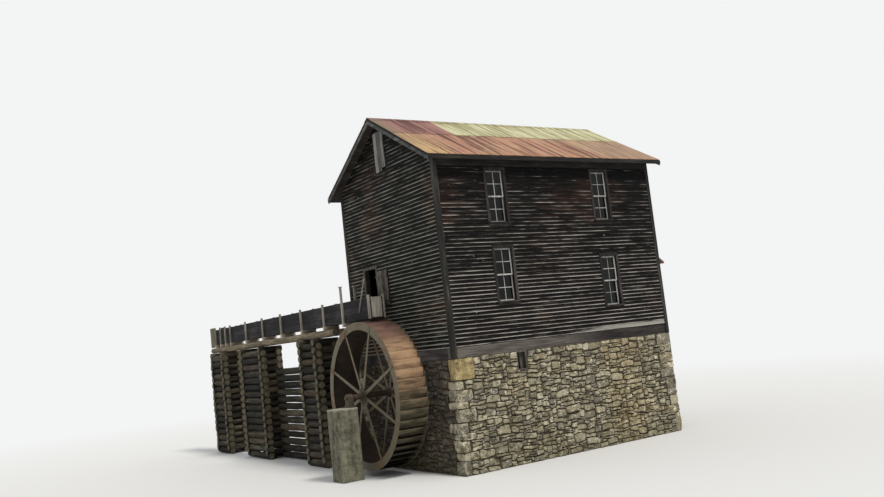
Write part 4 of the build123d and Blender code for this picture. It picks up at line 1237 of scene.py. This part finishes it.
def tied_corner(seed, corner_x, corner_y, inward_x, inward_y, heights):
    """Blocks up one corner, and the places they take on the two faces beside it."""
    dice = random.Random(seed)
    boxes, on_x_face, on_y_face = [], [], []
    low = 0.0
    factor = foundation_top / sum(heights)
    for number, height in enumerate(heights):
        arm_x, arm_y = (long_arm, short_arm) if number % 2 else (short_arm, long_arm)
        arm_x += dice.uniform(-arm_play, arm_play)
        arm_y += dice.uniform(-arm_play, arm_play)
        high = low + height * factor
        x_ends = sorted((corner_x - inward_x * block_proud, corner_x + inward_x * arm_x))
        y_ends = sorted((corner_y - inward_y * block_proud, corner_y + inward_y * arm_y))
        box_low = Vector((x_ends[0], y_ends[0], low + bed_joint))
        boxes.append((box_low, Vector((x_ends[1], y_ends[1], high - bed_joint))))
        on_x_face.append((*sorted((corner_x, corner_x + inward_x * (arm_x + head_joint))), low, high))
        on_y_face.append((*sorted((corner_y, corner_y + inward_y * (arm_y + head_joint))), low, high))
        low = high
    return boxes, on_x_face, on_y_face


corners = [
    tied_corner(31, left_face, front_face, 1, 1, block_heights),
    tied_corner(32, right_face, front_face, -1, 1, block_heights[::-1]),
    tied_corner(33, left_face, back_face, 1, -1, block_heights[::-1]),
    tied_corner(34, right_face, back_face, -1, -1, block_heights),
]
corner_shape = Shape()
corner_dice = random.Random(35)
top_block = corners[0][0][-1]
for boxes, _, _ in corners:
    for box in boxes:
        corner_block(corner_shape, corner_dice, *box, finish=int(box is top_block))
make_piece("corner_stones", corner_shape, [sunny_stone, ochre_stone], crease=60)

# %% Rubble on the foundation
vent_low, vent_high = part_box("cellar_vent")
vent_hole = (vent_low.x, vent_high.x, vent_low.z, vent_high.z + 0.1)
passage_half, passage_drop, passage_head = 0.28, 0.27, 0.26
passage_hole = (axle_y - passage_half, axle_y + passage_half, axle_z - passage_drop, axle_z + passage_head)
lean_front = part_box("lean_to_base")[0].y
lean_outer, base_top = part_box("lean_to_base")[1].x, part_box("lean_to_base")[1].z
rubble_wall(
    "rubble_front", 21, front_plane, (left_face, right_face), foundation_top,
    [vent_hole] + corners[0][1] + corners[1][1],
)
rubble_wall(
    "rubble_left", 22, left_plane, (front_face, back_face), foundation_top,
    [passage_hole] + corners[0][2] + corners[2][2], shady_stone,
)
rubble_wall(
    "rubble_back", 23, back_plane, (left_face, right_face), foundation_top, corners[2][1] + corners[3][1],
)
rubble_wall("rubble_right", 24, right_plane, (front_face, lean_front), foundation_top, corners[1][2])

# %% Rubble on the lean-to's base
lean_front_plane = wall_plane((0, lean_front, 0), east, -north)
lean_side_plane = wall_plane((lean_outer, 0, 0), north, east)
lean_ends = (right_face, lean_outer)
rubble_wall("rubble_lean_to_front", 25, lean_front_plane, lean_ends, base_top, [])
rubble_wall("rubble_lean_to_side", 26, lean_side_plane, (lean_front, back_face), base_top, [])
rubble_wall("rubble_lean_to_back", 27, back_plane, lean_ends, base_top, [])

# %% [markdown]
# ## Corrugated roof sheets
# A corrugated sheet is a wave carried down the slope. Each slope has two rows of sheets, the upper
# row lapped over the lower. Every sheet is a little out of line with the next, so the eave is wavy,
# and the waves make the fine lines that run down the roof, with painted shade in their valleys
# from the sheet finish.

# %% Corrugated sheets
wave_height = 0.012
sheet_waves = 9
side_lap = 0.4
wave_steps = 6
iron_thickness = 0.0016


def corrugated(shape, dice, spot, x_from, x_to, near, far, lift):
    """One sheet; spot(x, share, rise) gives a point at a share of the slope, rise above the bed."""
    steps = max(4, round((x_to - x_from) / wave_pitch * wave_steps))
    rows = 4
    slip = dice.uniform(-0.012, 0.006)
    curl = dice.uniform(0, 0.005)
    points = []
    for layer in (iron_thickness, 0.0):
        for row in range(rows + 1):
            share = near + (far - near) * row / rows
            share += slip * (row == rows) / roof_reach
            for step in range(steps + 1):
                x = x_from + (x_to - x_from) * step / steps
                wave = (1 + math.sin(2 * math.pi * x / wave_pitch)) / 2 * wave_height
                warp = noise.noise(Vector((x * 1.3, share * 5, lift * 90))) * 0.003
                points.append(spot(x, share, lift + wave + layer + warp + curl * (row == rows)))
    wide = steps + 1
    under = (rows + 1) * wide
    faces = []
    for row in range(rows):
        for step in range(steps):
            base = row * wide + step
            faces.append((base, base + 1, base + wide + 1, base + wide))
            faces.append((under + base, under + base + wide, under + base + wide + 1, under + base + 1))
    for step in range(steps):
        end = rows * wide + step
        faces.append((step, under + step, under + step + 1, step + 1))
        faces.append((end, end + 1, under + end + 1, under + end))
    for row in range(rows):
        side = row * wide
        faces.append((side, side + wide, under + side + wide, under + side))
        faces.append((side + steps, under + side + steps, under + side + wide + steps, side + wide + steps))
    shape.add(points, faces, dice.random())


def roof_point(side):
    """Places a point on one slope of the main roof: side is -1 to the front and 1 to the back."""
    def spot(x, share, rise):
        y = ridge_y + side * share * roof_reach
        return Vector((x, y, sheet_bed(y) + rise))
    return spot


def sheet_row(shape, dice, spot, x_from, x_to, near, far, lift):
    """One row of sheets side by side, each lapping the next by part of a wave."""
    width = sheet_waves * wave_pitch
    x = x_from
    while x < x_to - 0.01:
        stop = min(x + width, x_to)
        if x_to - stop < width / 3:
            stop = x_to
        end = min(stop + wave_pitch * side_lap, x_to)
        corrugated(shape, dice, spot, x, end, near, far, lift + dice.uniform(0, 0.0012))
        x = stop


# %% Sheets on both slopes
row_lap = 0.03
row_lift = 0.0075
for side, word, seed in ((-1, "front", 41), (1, "back", 42)):
    roof_shape = Shape()
    roof_dice = random.Random(seed)
    slope = (roof_shape, roof_dice, roof_point(side), sheets_low.x, sheets_high.x)
    sheet_row(*slope, lap_share - row_lap, 1.0, 0.0)
    sheet_row(*slope, 0.0, lap_share, row_lift)
    replaced = ["roof_sheets_" + word]
    make_piece("corrugated_sheets_" + word, roof_shape, [roof_iron], replaced, 60)

# %% [markdown]
# ## Round logs
# The flume stands on cribs of round logs laid crosswise. No log is straight or perfectly round, so
# each one tapers, bends a little and has a lumpy outline. The sawn ends are flat faces with a finish
# of their own, and the rings on them come from a value that grows from the heart to the bark.

# %% Log finishes
def bark_finish(name, axis, dark, middle, light):
    """Weathered log: grey and olive, painted light on top and painted shade below, with long checks along
    the grain.
    """
    finish = Finish(name)
    grain = finish.streaks(axis, 2.0, 34, 8, 0.65)
    coarse = finish.streaks(axis, 1.2, 8, 4)
    log = finish.carried("tone")
    # Painted light and shade: the more a face points up, the lighter its colour.
    facing = finish.axis("Z", finish.node("NewGeometry", output="Normal"))
    tone = (grain - 0.5) * 1.4 + (coarse - 0.5) * 1.2 + (log - 0.5) * 0.6 + facing * 0.22 + 0.45
    colour = finish.blend(finish.rise(tone, 0.0, 0.6), dark, middle)
    colour = finish.blend(finish.rise(tone, 0.5, 1.1), colour, light)
    reddish = finish.rise(log, 0.72, 0.9) * 0.4
    colour = finish.blend(reddish, colour, (70, 51, 40))
    check = finish.streaks(axis, 1.0, 22, 2)
    crack = finish.rise(finish.maths("ABSOLUTE", check - 0.5), 0.012, 0.0)
    colour = finish.blend(crack * 0.7, colour, (24, 20, 18))
    return finish.shade(colour, 0.85, grain + coarse * 0.5 - crack * 1.5, 0.004, gloss=0.2)


def log_end_finish():
    """Sawn wood with rings; its corners carry a value that grows from the heart to the rim."""
    finish = Finish("log_end")
    rim = finish.carried("rim")
    grit = finish.cloud(14, 5)
    rings = finish.maths("SINE", (rim + (grit - 0.5) * 0.08) * 70)
    colour = finish.blend(finish.rise(rings, -1.0, 1.0) * 0.4, (112, 105, 86), (74, 67, 54))
    colour = finish.blend(finish.rise(grit, 0.45, 0.65) * 0.6, colour, (66, 60, 49))
    colour = finish.blend(finish.rise(rim, 0.86, 1.0), colour, (50, 42, 34))
    return finish.shade(colour, 0.9, rings * 0.3 + grit, 0.003, gloss=0.15)


# The crib logs get darker colours than the stringers: painted shade, standing for the trees' shade over the
# cribs.
shaded_long_log_bark = bark_finish("log_lengthwise_shaded", "y", (15, 14, 12), (50, 47, 38), (112, 107, 90))
shaded_cross_log_bark = bark_finish("log_crosswise_shaded", "x", (17, 16, 13), (56, 52, 42), (120, 115, 97))
stringer_bark = bark_finish("stringer", "y", (56, 48, 40), (124, 112, 92), (184, 171, 147))
log_end = log_end_finish()
print(len(bpy.data.materials), "finishes in all")


# %% One log
log_sides = 16
log_step = 0.18


def log(shape, dice, start, stop, radius, lump=0.11):
    """A round log between two points, with sawn ends."""
    run = (stop - start).normalized()
    across = run.cross(up).normalized()
    over = across.cross(run)
    length = (stop - start).length
    stations = max(2, round(length / log_step))
    seed = Vector((dice.uniform(0, 90), dice.uniform(0, 90), dice.uniform(0, 90)))
    taper = dice.uniform(-0.05, 0.05)
    bow = dice.uniform(-0.006, 0.006) * length
    points = []
    for station in range(stations + 1):
        share = station / stations
        middle = start + run * (length * share) + across * (bow * math.sin(math.pi * share))
        for side in range(log_sides):
            angle = 2 * math.pi * side / log_sides
            around = Vector((math.cos(angle) * 1.3, math.sin(angle) * 1.3, share * length * 1.6))
            reach = radius * (1 + taper * (share * 2 - 1) + lump * noise.noise(seed + around))
            points.append(middle + (across * math.cos(angle) + over * math.sin(angle)) * reach)
    rims = [1.0] * len(points)
    faces = tube_sides(stations + 1, log_sides)
    finishes = [0] * len(faces)
    for end, sign in ((0, 1), (stations, -1)):
        rim_first = end * log_sides
        rim = points[rim_first:rim_first + log_sides]
        middle = sum(rim, Vector()) / log_sides
        heart_first = len(points)
        points += [middle.lerp(point, 0.5) for point in rim]
        points.append(middle - run * (sign * dice.uniform(0.0, 0.006)))
        rims += [0.5] * log_sides + [0.0]
        heart = len(points) - 1
        for side in range(log_sides):
            after = (side + 1) % log_sides
            faces.append((rim_first + side, rim_first + after, heart_first + after, heart_first + side))
            faces.append((heart_first + side, heart_first + after, heart))
            finishes += [1, 1]
    shape.add(points, faces, dice.random(), finishes, rims)


# %% [markdown]
# The cribs take their places from the CAD logs: the long logs lie in two walls along the flume, and
# the cross logs lie half a course higher at both ends. On the real cribs the logs are notched over
# each other; here they pass through each other at the crossings, which looks the same.

# %% Crib logs
cross_low, cross_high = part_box("crib_cross_logs")
long_low, long_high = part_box("crib_long_logs")
link_low, link_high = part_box("crib_link_logs")
courses = 16
course_height = (long_high.z - long_low.z) / courses
log_radius = course_height / 2
crib_middle = (cross_low.x + cross_high.x) / 2
log_overrun = 0.16
crib_half = (cross_high.x - cross_low.x) / 2 - log_overrun
wheel_crib, middle_crib, head_crib = 1.18, 1.98, 1.28
crib_spans = [
    (long_low.y + log_overrun, long_low.y + log_overrun + wheel_crib),
    (link_high.y + log_overrun, link_high.y + log_overrun + middle_crib),
    (long_high.y - log_overrun - head_crib, long_high.y - log_overrun),
]
long_shape, cross_shape = Shape(), Shape()
crib_dice = random.Random(51)
for span_low, span_high in crib_spans:
    for course in range(courses):
        level = course_height * (course + 0.5)
        for x in (crib_middle - crib_half, crib_middle + crib_half):
            shift = crib_dice.uniform(-0.012, 0.012)
            log(
                long_shape, crib_dice,
                Vector((x + shift, span_low - log_overrun + crib_dice.uniform(0, 0.03), level)),
                Vector((x - shift, span_high + log_overrun - crib_dice.uniform(0, 0.03), level)),
                log_radius * crib_dice.uniform(0.86, 1.0),
            )
        for y in (span_low, span_high):
            shift = crib_dice.uniform(-0.008, 0.008)
            log(
                cross_shape, crib_dice,
                Vector((cross_low.x + crib_dice.uniform(0, 0.03), y + shift, level + log_radius)),
                Vector((cross_high.x - crib_dice.uniform(0, 0.03), y - shift, level + log_radius)),
                log_radius * crib_dice.uniform(0.82, 0.98),
            )
long_look, cross_look = [shaded_long_log_bark, log_end], [shaded_cross_log_bark, log_end]
make_piece("round_long_logs", long_shape, long_look, ["crib_long_logs"], 50)
make_piece("round_cross_logs", cross_shape, cross_look, ["crib_cross_logs"], 50)

# %% Logs that join two cribs
link_shape = Shape()
link_x = (link_low.x + link_high.x) / 2
link_courses = round((link_high.z - link_low.z) / course_height)
for course in range(link_courses):
    level = course_height * (course + 0.5)
    log(
        link_shape, crib_dice,
        Vector((link_x + crib_dice.uniform(-0.015, 0.015), link_low.y + crib_dice.uniform(0, 0.05), level)),
        Vector((link_x + crib_dice.uniform(-0.015, 0.015), link_high.y - crib_dice.uniform(0, 0.05), level)),
        log_radius * crib_dice.uniform(0.86, 1.0),
    )
make_piece("round_link_logs", link_shape, long_look, ["crib_link_logs"], 50)

# %% Stringers
stringer_low, stringer_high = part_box("stringers")
stringer_radius = 0.12
stringer_z = (stringer_low.z + stringer_high.z) / 2
stringer_shape = Shape()
for x in (stringer_low.x + stringer_radius, stringer_high.x - stringer_radius):
    log(
        stringer_shape, crib_dice,
        Vector((x, stringer_low.y, stringer_z)), Vector((x, stringer_high.y, stringer_z)),
        (stringer_high.z - stringer_low.z) / 2, lump=0.03,
    )
make_piece("round_stringers", stringer_shape, [stringer_bark, log_end], ["stringers"], 50)

# %% [markdown]
# ## Planks of the flume
# Each side of the trough is three planks high. The planks are a few metres long, butted at random
# places, and a little uneven, so the top edge is not a ruled line. A cap sits on each gate post.

# %% Flume planks
flume_low, flume_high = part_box("flume_sides")
flume_board = 0.04
side_planks = 3
flume_shape = Shape()
flume_dice = random.Random(61)
plank_height = (flume_high.z - flume_low.z) / side_planks
for x in (flume_low.x, flume_high.x - flume_board):
    for number in range(side_planks):
        at = flume_low.y
        while at < flume_high.y - 0.01:
            length = min(flume_dice.uniform(2.6, 4.4), flume_high.y - at)
            if flume_high.y - at - length < 1:
                length = flume_high.y - at
            start = Vector((x, at, flume_low.z + number * plank_height + 0.002))
            plank(
                flume_shape, flume_dice, start, north, up, east,
                (length - 0.003, plank_height - 0.004, flume_board), 0.005, 0.004,
            )
            at += length
make_piece("flume_planks", flume_shape, [flume_wood], ["flume_sides"])

# %% Caps of the gate posts
post_low, post_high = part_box("flume_posts")
gate_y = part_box("flume_cross_sills")[0].y + 0.05
post_size = 0.06
cap_over, cap_thick = 0.018, 0.028
cap_side = post_size + 2 * cap_over
cap_shape = Shape()
for x in (post_low.x, post_high.x - post_size):
    start = Vector((x - cap_over, gate_y - post_size / 2 - cap_over, post_high.z))
    plank(cap_shape, flume_dice, start, east, north, up, (cap_side, cap_side, cap_thick), 0.006, 0.001)
make_piece("gate_post_caps", cap_shape, [post_wood])

# %% [markdown]
# The flume's last bay is boarded with two upright boards on each side. They lie flat on the planks and
# reach a little above and below them.

# %% Boards over the flume's head
head_board_wide, head_board_thick = 0.33, 0.022
head_board_reach = 0.10
head_board_gap = 0.006
head_board_size = (
    flume_high.z - flume_low.z + 2 * head_board_reach, head_board_wide - head_board_gap, head_board_thick,
)
head_shape = Shape()
for x, out in ((flume_low.x, -east), (flume_high.x, east)):
    for number in (1, 2):
        start = Vector((x, flume_high.y - number * head_board_wide, flume_low.z - head_board_reach))
        plank(head_shape, flume_dice, start, up, north, out, head_board_size)
make_piece("flume_head_boards", head_shape, [head_wood])

# %% [markdown]
# ## Lean-to
# The shed at the far gable is closed with upright planks of mixed widths and roofed with the same
# corrugated iron, its waves running down from the mill's wall. The planks leave the doorway free, and
# narrower ones with two ledges make the door.

# %% Upright planks
plank_seam = 0.007


def upright_planks(shape, dice, plane, ends, foot, head, holes, thickness, widths=(0.16, 0.24)):
    """A boarded wall; head(along) gives the top of a plank, and holes are (left, right, low, high)."""
    face, run, out = plane
    at = ends[0]
    while at < ends[1] - 0.02:
        width = min(dice.uniform(*widths), ends[1] - at)
        if ends[1] - at - width < 0.06:
            width = ends[1] - at
        top = min(head(at), head(at + width)) - 0.005
        middle = at + width / 2
        gaps = [(low, high) for left, right, low, high in holes if left < middle < right]
        for low, high in clear_runs(foot, top, gaps):
            start = face + run * (at + plank_seam / 2) + up * (low + dice.uniform(0, 0.012) * (low == foot))
            size = (high - low - 0.002, width - plank_seam, thickness - dice.uniform(0, 0.005))
            plank(shape, dice, start, up, run, out, size, 0.003, 0.001)
        at += width


# %% Planks of the lean-to's walls
door_low, door_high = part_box("lean_to_door")
shed_door = (door_low.y, door_high.y, door_low.z, door_high.z)
shed_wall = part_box("lean_to_side_wall")[1]
shed_rise = (lean_high.z - lean_low.z) / (lean_high.x - lean_low.x)
shed_foot = base_top + 0.02


def shed_soffit(x):
    """Height of the underside of the lean-to's roof, over the line at x."""
    return shed_wall.z + (shed_wall.x - x) * shed_rise


shed_shape = Shape()
shed_dice = random.Random(71)
board = 0.022
shed_side_plane = wall_plane((shed_wall.x, 0, 0), north, east)
upright_planks(
    shed_shape, shed_dice, shed_side_plane, (lean_front - board, back_face + board),
    shed_foot, lambda y: shed_wall.z, [shed_door], board,
)
for end_plane in (lean_front_plane, back_plane):
    upright_planks(
        shed_shape, shed_dice, end_plane, (right_face + 0.002, shed_wall.x),
        shed_foot, shed_soffit, [], board,
    )
make_piece("lean_to_planks", shed_shape, [shed_wood])

# %% Door of the lean-to
shed_door_shape = Shape()
upright_planks(
    shed_door_shape, shed_dice, wall_plane((door_low.x, 0, 0), north, east), shed_door[:2],
    door_low.z, lambda y: door_high.z, [], shed_wall.x - door_low.x, (0.13, 0.15),
)
ledge_height = 0.11
for level in (door_low.z + ledge_height, door_high.z - 2 * ledge_height):
    start = Vector((shed_wall.x, door_low.y, level))
    size = (door_high.y - door_low.y, ledge_height, door_high.x - shed_wall.x)
    plank(shed_door_shape, shed_dice, start, north, up, east, size)
make_piece("lean_to_door_planks", shed_door_shape, [door_wood], ["lean_to_door"])

# %% Corrugated roof of the lean-to
shed_length = lean_high.x - lean_low.x


def shed_point(y, share, rise):
    """Places a point on the lean-to's roof, sunk so that the waves end up at the CAD roof's top."""
    x = lean_low.x + shed_length * share
    return Vector((x, y, lean_high.z - shed_length * share * shed_rise + rise - wave_height + 0.003))


shed_roof_shape = Shape()
sheet_row(shed_roof_shape, shed_dice, shed_point, lean_low.y, lean_high.y, 0.005, 1.0, 0.0)
make_piece("lean_to_sheets", shed_roof_shape, [shed_roof_iron], crease=60)

# %% [markdown]
# ## Bolts and plates
# The wheel is plate iron bolted together. Each shroud segment meets the next at a splice plate, the
# spokes are bolted to shroud and flange, and the bearings to their seats. A bolt head is a hexagon
# with a struck-off edge, about as many sides as a picture can show.

# %% Bolts
def bolt(shape, dice, at, out, radius, height):
    """A hexagon bolt head that stands out from a face."""
    side = out.orthogonal().normalized()
    over = out.cross(side)
    spin = dice.uniform(0, math.pi / 3)
    points = []
    for reach, lift in ((radius, -0.002), (radius, height * 0.75), (radius * 0.8, height)):
        for corner in range(6):
            angle = spin + corner * math.pi / 3
            points.append(at + (side * math.cos(angle) + over * math.sin(angle)) * reach + out * lift)
    faces = tube_sides(3, 6)
    faces.append(tuple(range(12, 18)))
    faces.append((5, 4, 3, 2, 1, 0))
    shape.add(points, faces, dice.random())


# %% Splice plates and bolts of the wheel
shroud_depth = 0.226
flange_thick = 0.022
plate_thick, plate_wide, plate_inset = 0.008, 0.11, 0.012
bucket_count = 48
spoke_angles = [math.radians(22.5 + 45 * number) for number in range(8)]
spoke_low, spoke_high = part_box("spokes")
wheel_shape = Shape()
wheel_dice = random.Random(81)


def spoke_frame(angle):
    """Directions out along a spoke and square to it."""
    return Vector((0, math.cos(angle), math.sin(angle))), Vector((0, -math.sin(angle), math.cos(angle)))


def wheel_spot(x, radius, angle, aside):
    """A point of the wheel, aside being its distance from the middle of a spoke."""
    ray, cross = spoke_frame(angle)
    return Vector((x, axle_y, axle_z)) + ray * radius + cross * aside


plate_foot = wheel_radius * math.cos(math.pi / bucket_count) - shroud_depth + plate_inset
plate_size = (shroud_depth - 2 * plate_inset, plate_wide, plate_thick)
for face_x, out in ((shroud_low.x, -east), (shroud_high.x, east)):
    for angle in spoke_angles:
        start = wheel_spot(face_x, plate_foot, angle, -plate_wide / 2)
        plank(wheel_shape, wheel_dice, start, *spoke_frame(angle), out, plate_size, 0.002, 0.0004)
        for share in (0.15, 0.5, 0.85):
            for aside in (-0.034, 0.034):
                spot = wheel_spot(face_x, plate_foot + plate_size[0] * share, angle, aside)
                bolt(wheel_shape, wheel_dice, spot + out * plate_thick, out, 0.014, 0.010)
for face_x, out in ((spoke_low.x, -east), (spoke_high.x, east)):
    for angle in spoke_angles:
        for radius, aside in ((0.165, -0.022), (0.165, 0.022), (0.205, 0.0)):
            spot = wheel_spot(face_x, radius, angle, aside)
            bolt(wheel_shape, wheel_dice, spot + out * flange_thick, out, 0.013, 0.012)
make_piece("wheel_bolts", wheel_shape, [wheel_iron], body="water_wheel")

# %% Bolts of the outer bearing
bearing_low, bearing_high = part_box("bearings")
bearing_shape = Shape()
foot_high, bearing_long = 0.06, 0.17
for x in (bearing_low.x + 0.045, bearing_low.x + bearing_long - 0.045):
    for y in (bearing_low.y + 0.05, bearing_high.y - 0.05):
        bolt(bearing_shape, wheel_dice, Vector((x, y, bearing_low.z + foot_high)), up, 0.018, 0.022)
make_piece("bearing_bolts", bearing_shape, [shaft_iron])

# %% [markdown]
# ## Finishes for the CAD nodes that stay
# Many solids already have the right shape: beams, floors, spokes, bearings. They keep their CAD mesh
# and only get a finish. So do the walls behind the boards and stones, which show in the gaps.

# %% Finish the CAD nodes
finish_of_nodes = (
    (joint_earth, "foundation_front foundation_back foundation_left foundation_right lean_to_base"),
    (hewn_x, "sill_beams_long"),
    (hewn_y, "sill_beams_end"),
    (inside_wood, "front_wall back_wall left_wall_front left_wall_back left_wall_at_hatch"),
    (inside_wood, "right_wall_front right_wall_back right_wall_over_door lean_to_floor"),
    (inside_wood, "ground_floor upper_floor attic_floor roof_deck_front roof_deck_back"),
    (trim_wood, "corner_boards"),
    (barge_wood, "bargeboards"),
    (shaded_eave_wood, "eave_boards"),
    (roof_iron, "ridge_cap"),
    (casing_wood, "window_frames"),
    (old_pane, "window_glass"),
    (leaf_wood, "cellar_vent hatch_frame"),
    (hatch_leaf_wood, "hatch_door"),
    (shutter_wood, "attic_shutters"),
    (shed_wood, "lean_to_end_walls lean_to_side_wall lean_to_door"),
    (shed_roof_iron, "lean_to_roof"),
    (wheel_iron, "shrouds spokes"),
    (sole_iron, "sole"),
    (bucket_iron, "buckets"),
    (shaft_iron, "hubs axle bearings hatch_hinges"),
    (old_concrete, "pier"),
    (flume_wood, "flume_floor flume_sides"),
    (post_wood, "flume_end_boards flume_posts control_pole"),
    (sill_wood, "flume_cross_sills"),
)
for material, names in finish_of_nodes:
    for name in names.split():
        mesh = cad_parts[name].data
        mesh.materials.clear()
        mesh.materials.append(material)
print(sum(len(names.split()) for _, names in finish_of_nodes), "CAD nodes have a finish")

# %% [markdown]
# ## Floor and light
# A pale floor takes the shadow, and the world is plain white to the camera and to reflections, but
# gives softer light to the object. One broad sun stands for the key light of a studio.

# %% Floor
floor_half = 160
floor_drop = 0.004
floor_corners = [(x * floor_half, y * floor_half, 0) for x, y in ((-1, -1), (1, -1), (1, 1), (-1, 1))]
floor_mesh = bpy.data.meshes.new("floor")
floor_mesh.from_pydata(floor_corners, [], [(0, 1, 2, 3)])
floor = bpy.data.objects.new("floor", floor_mesh)
floor.location.z = -floor_drop
bpy.context.scene.collection.objects.link(floor)


# %% Floor finish
backdrop_colour = (0.90, 0.905, 0.91, 1)


def seen_directly(finish):
    """One for camera, mirror and glass rays, nought for the rays that light the object."""
    kinds = ("Is Camera Ray", "Is Glossy Ray", "Is Transmission Ray")
    camera_ray, mirror_ray, glass_ray = [finish.node("LightPath", output=kind) for kind in kinds]
    return finish.maths("MAXIMUM", finish.maths("MAXIMUM", camera_ray, mirror_ray), glass_ray)


def pale_floor():
    """Matt near the mill, where its shadow falls, and the backdrop's own colour farther out."""
    finish = Finish("pale_floor")
    matt = finish.node("BsdfDiffuse", inputs={"Color": paint(228, 227, 224)})
    backdrop = finish.node("Emission", inputs={"Color": backdrop_colour})
    distance = finish.node("VectorMath", {"operation": "LENGTH"}, {0: finish.place}, "Value")
    far = finish.rise(distance, 11, 40) * seen_directly(finish)
    both = finish.node("MixShader", inputs={0: far, 1: matt, 2: backdrop})
    finish.node("OutputMaterial", inputs={"Surface": both})
    return finish.material


floor_mesh.materials.append(pale_floor())
print("floor", 2 * floor_half, "m wide")


# %% World
def pale_world():
    """The backdrop's colour to the camera, and a softer light to the object."""
    bpy.context.scene.world = bpy.data.worlds.new("studio")
    finish = Finish("studio", bpy.context.scene.world)
    light = finish.node("Background", inputs={"Color": (0.94, 0.97, 1.0, 1), "Strength": 0.62})
    backdrop = finish.node("Background", inputs={"Color": backdrop_colour, "Strength": 1.0})
    both = finish.node("MixShader", inputs={0: seen_directly(finish), 1: light, 2: backdrop})
    finish.node("OutputWorld", inputs={"Surface": both})


pale_world()
print("world", bpy.context.scene.world.name)

# %% Key light
key_data = bpy.data.lights.new("key", "SUN")
key_data.energy = 1.9
key_data.angle = math.radians(12)
key_data.color = (1.0, 0.97, 0.92)
key = bpy.data.objects.new("key", key_data)
bpy.context.scene.collection.objects.link(key)
toward_light = Vector((0.12, -0.72, 1.0))
key.rotation_euler = toward_light.to_track_quat("Z", "Y").to_euler()
print("key light from", [round(value, 2) for value in toward_light.normalized()])
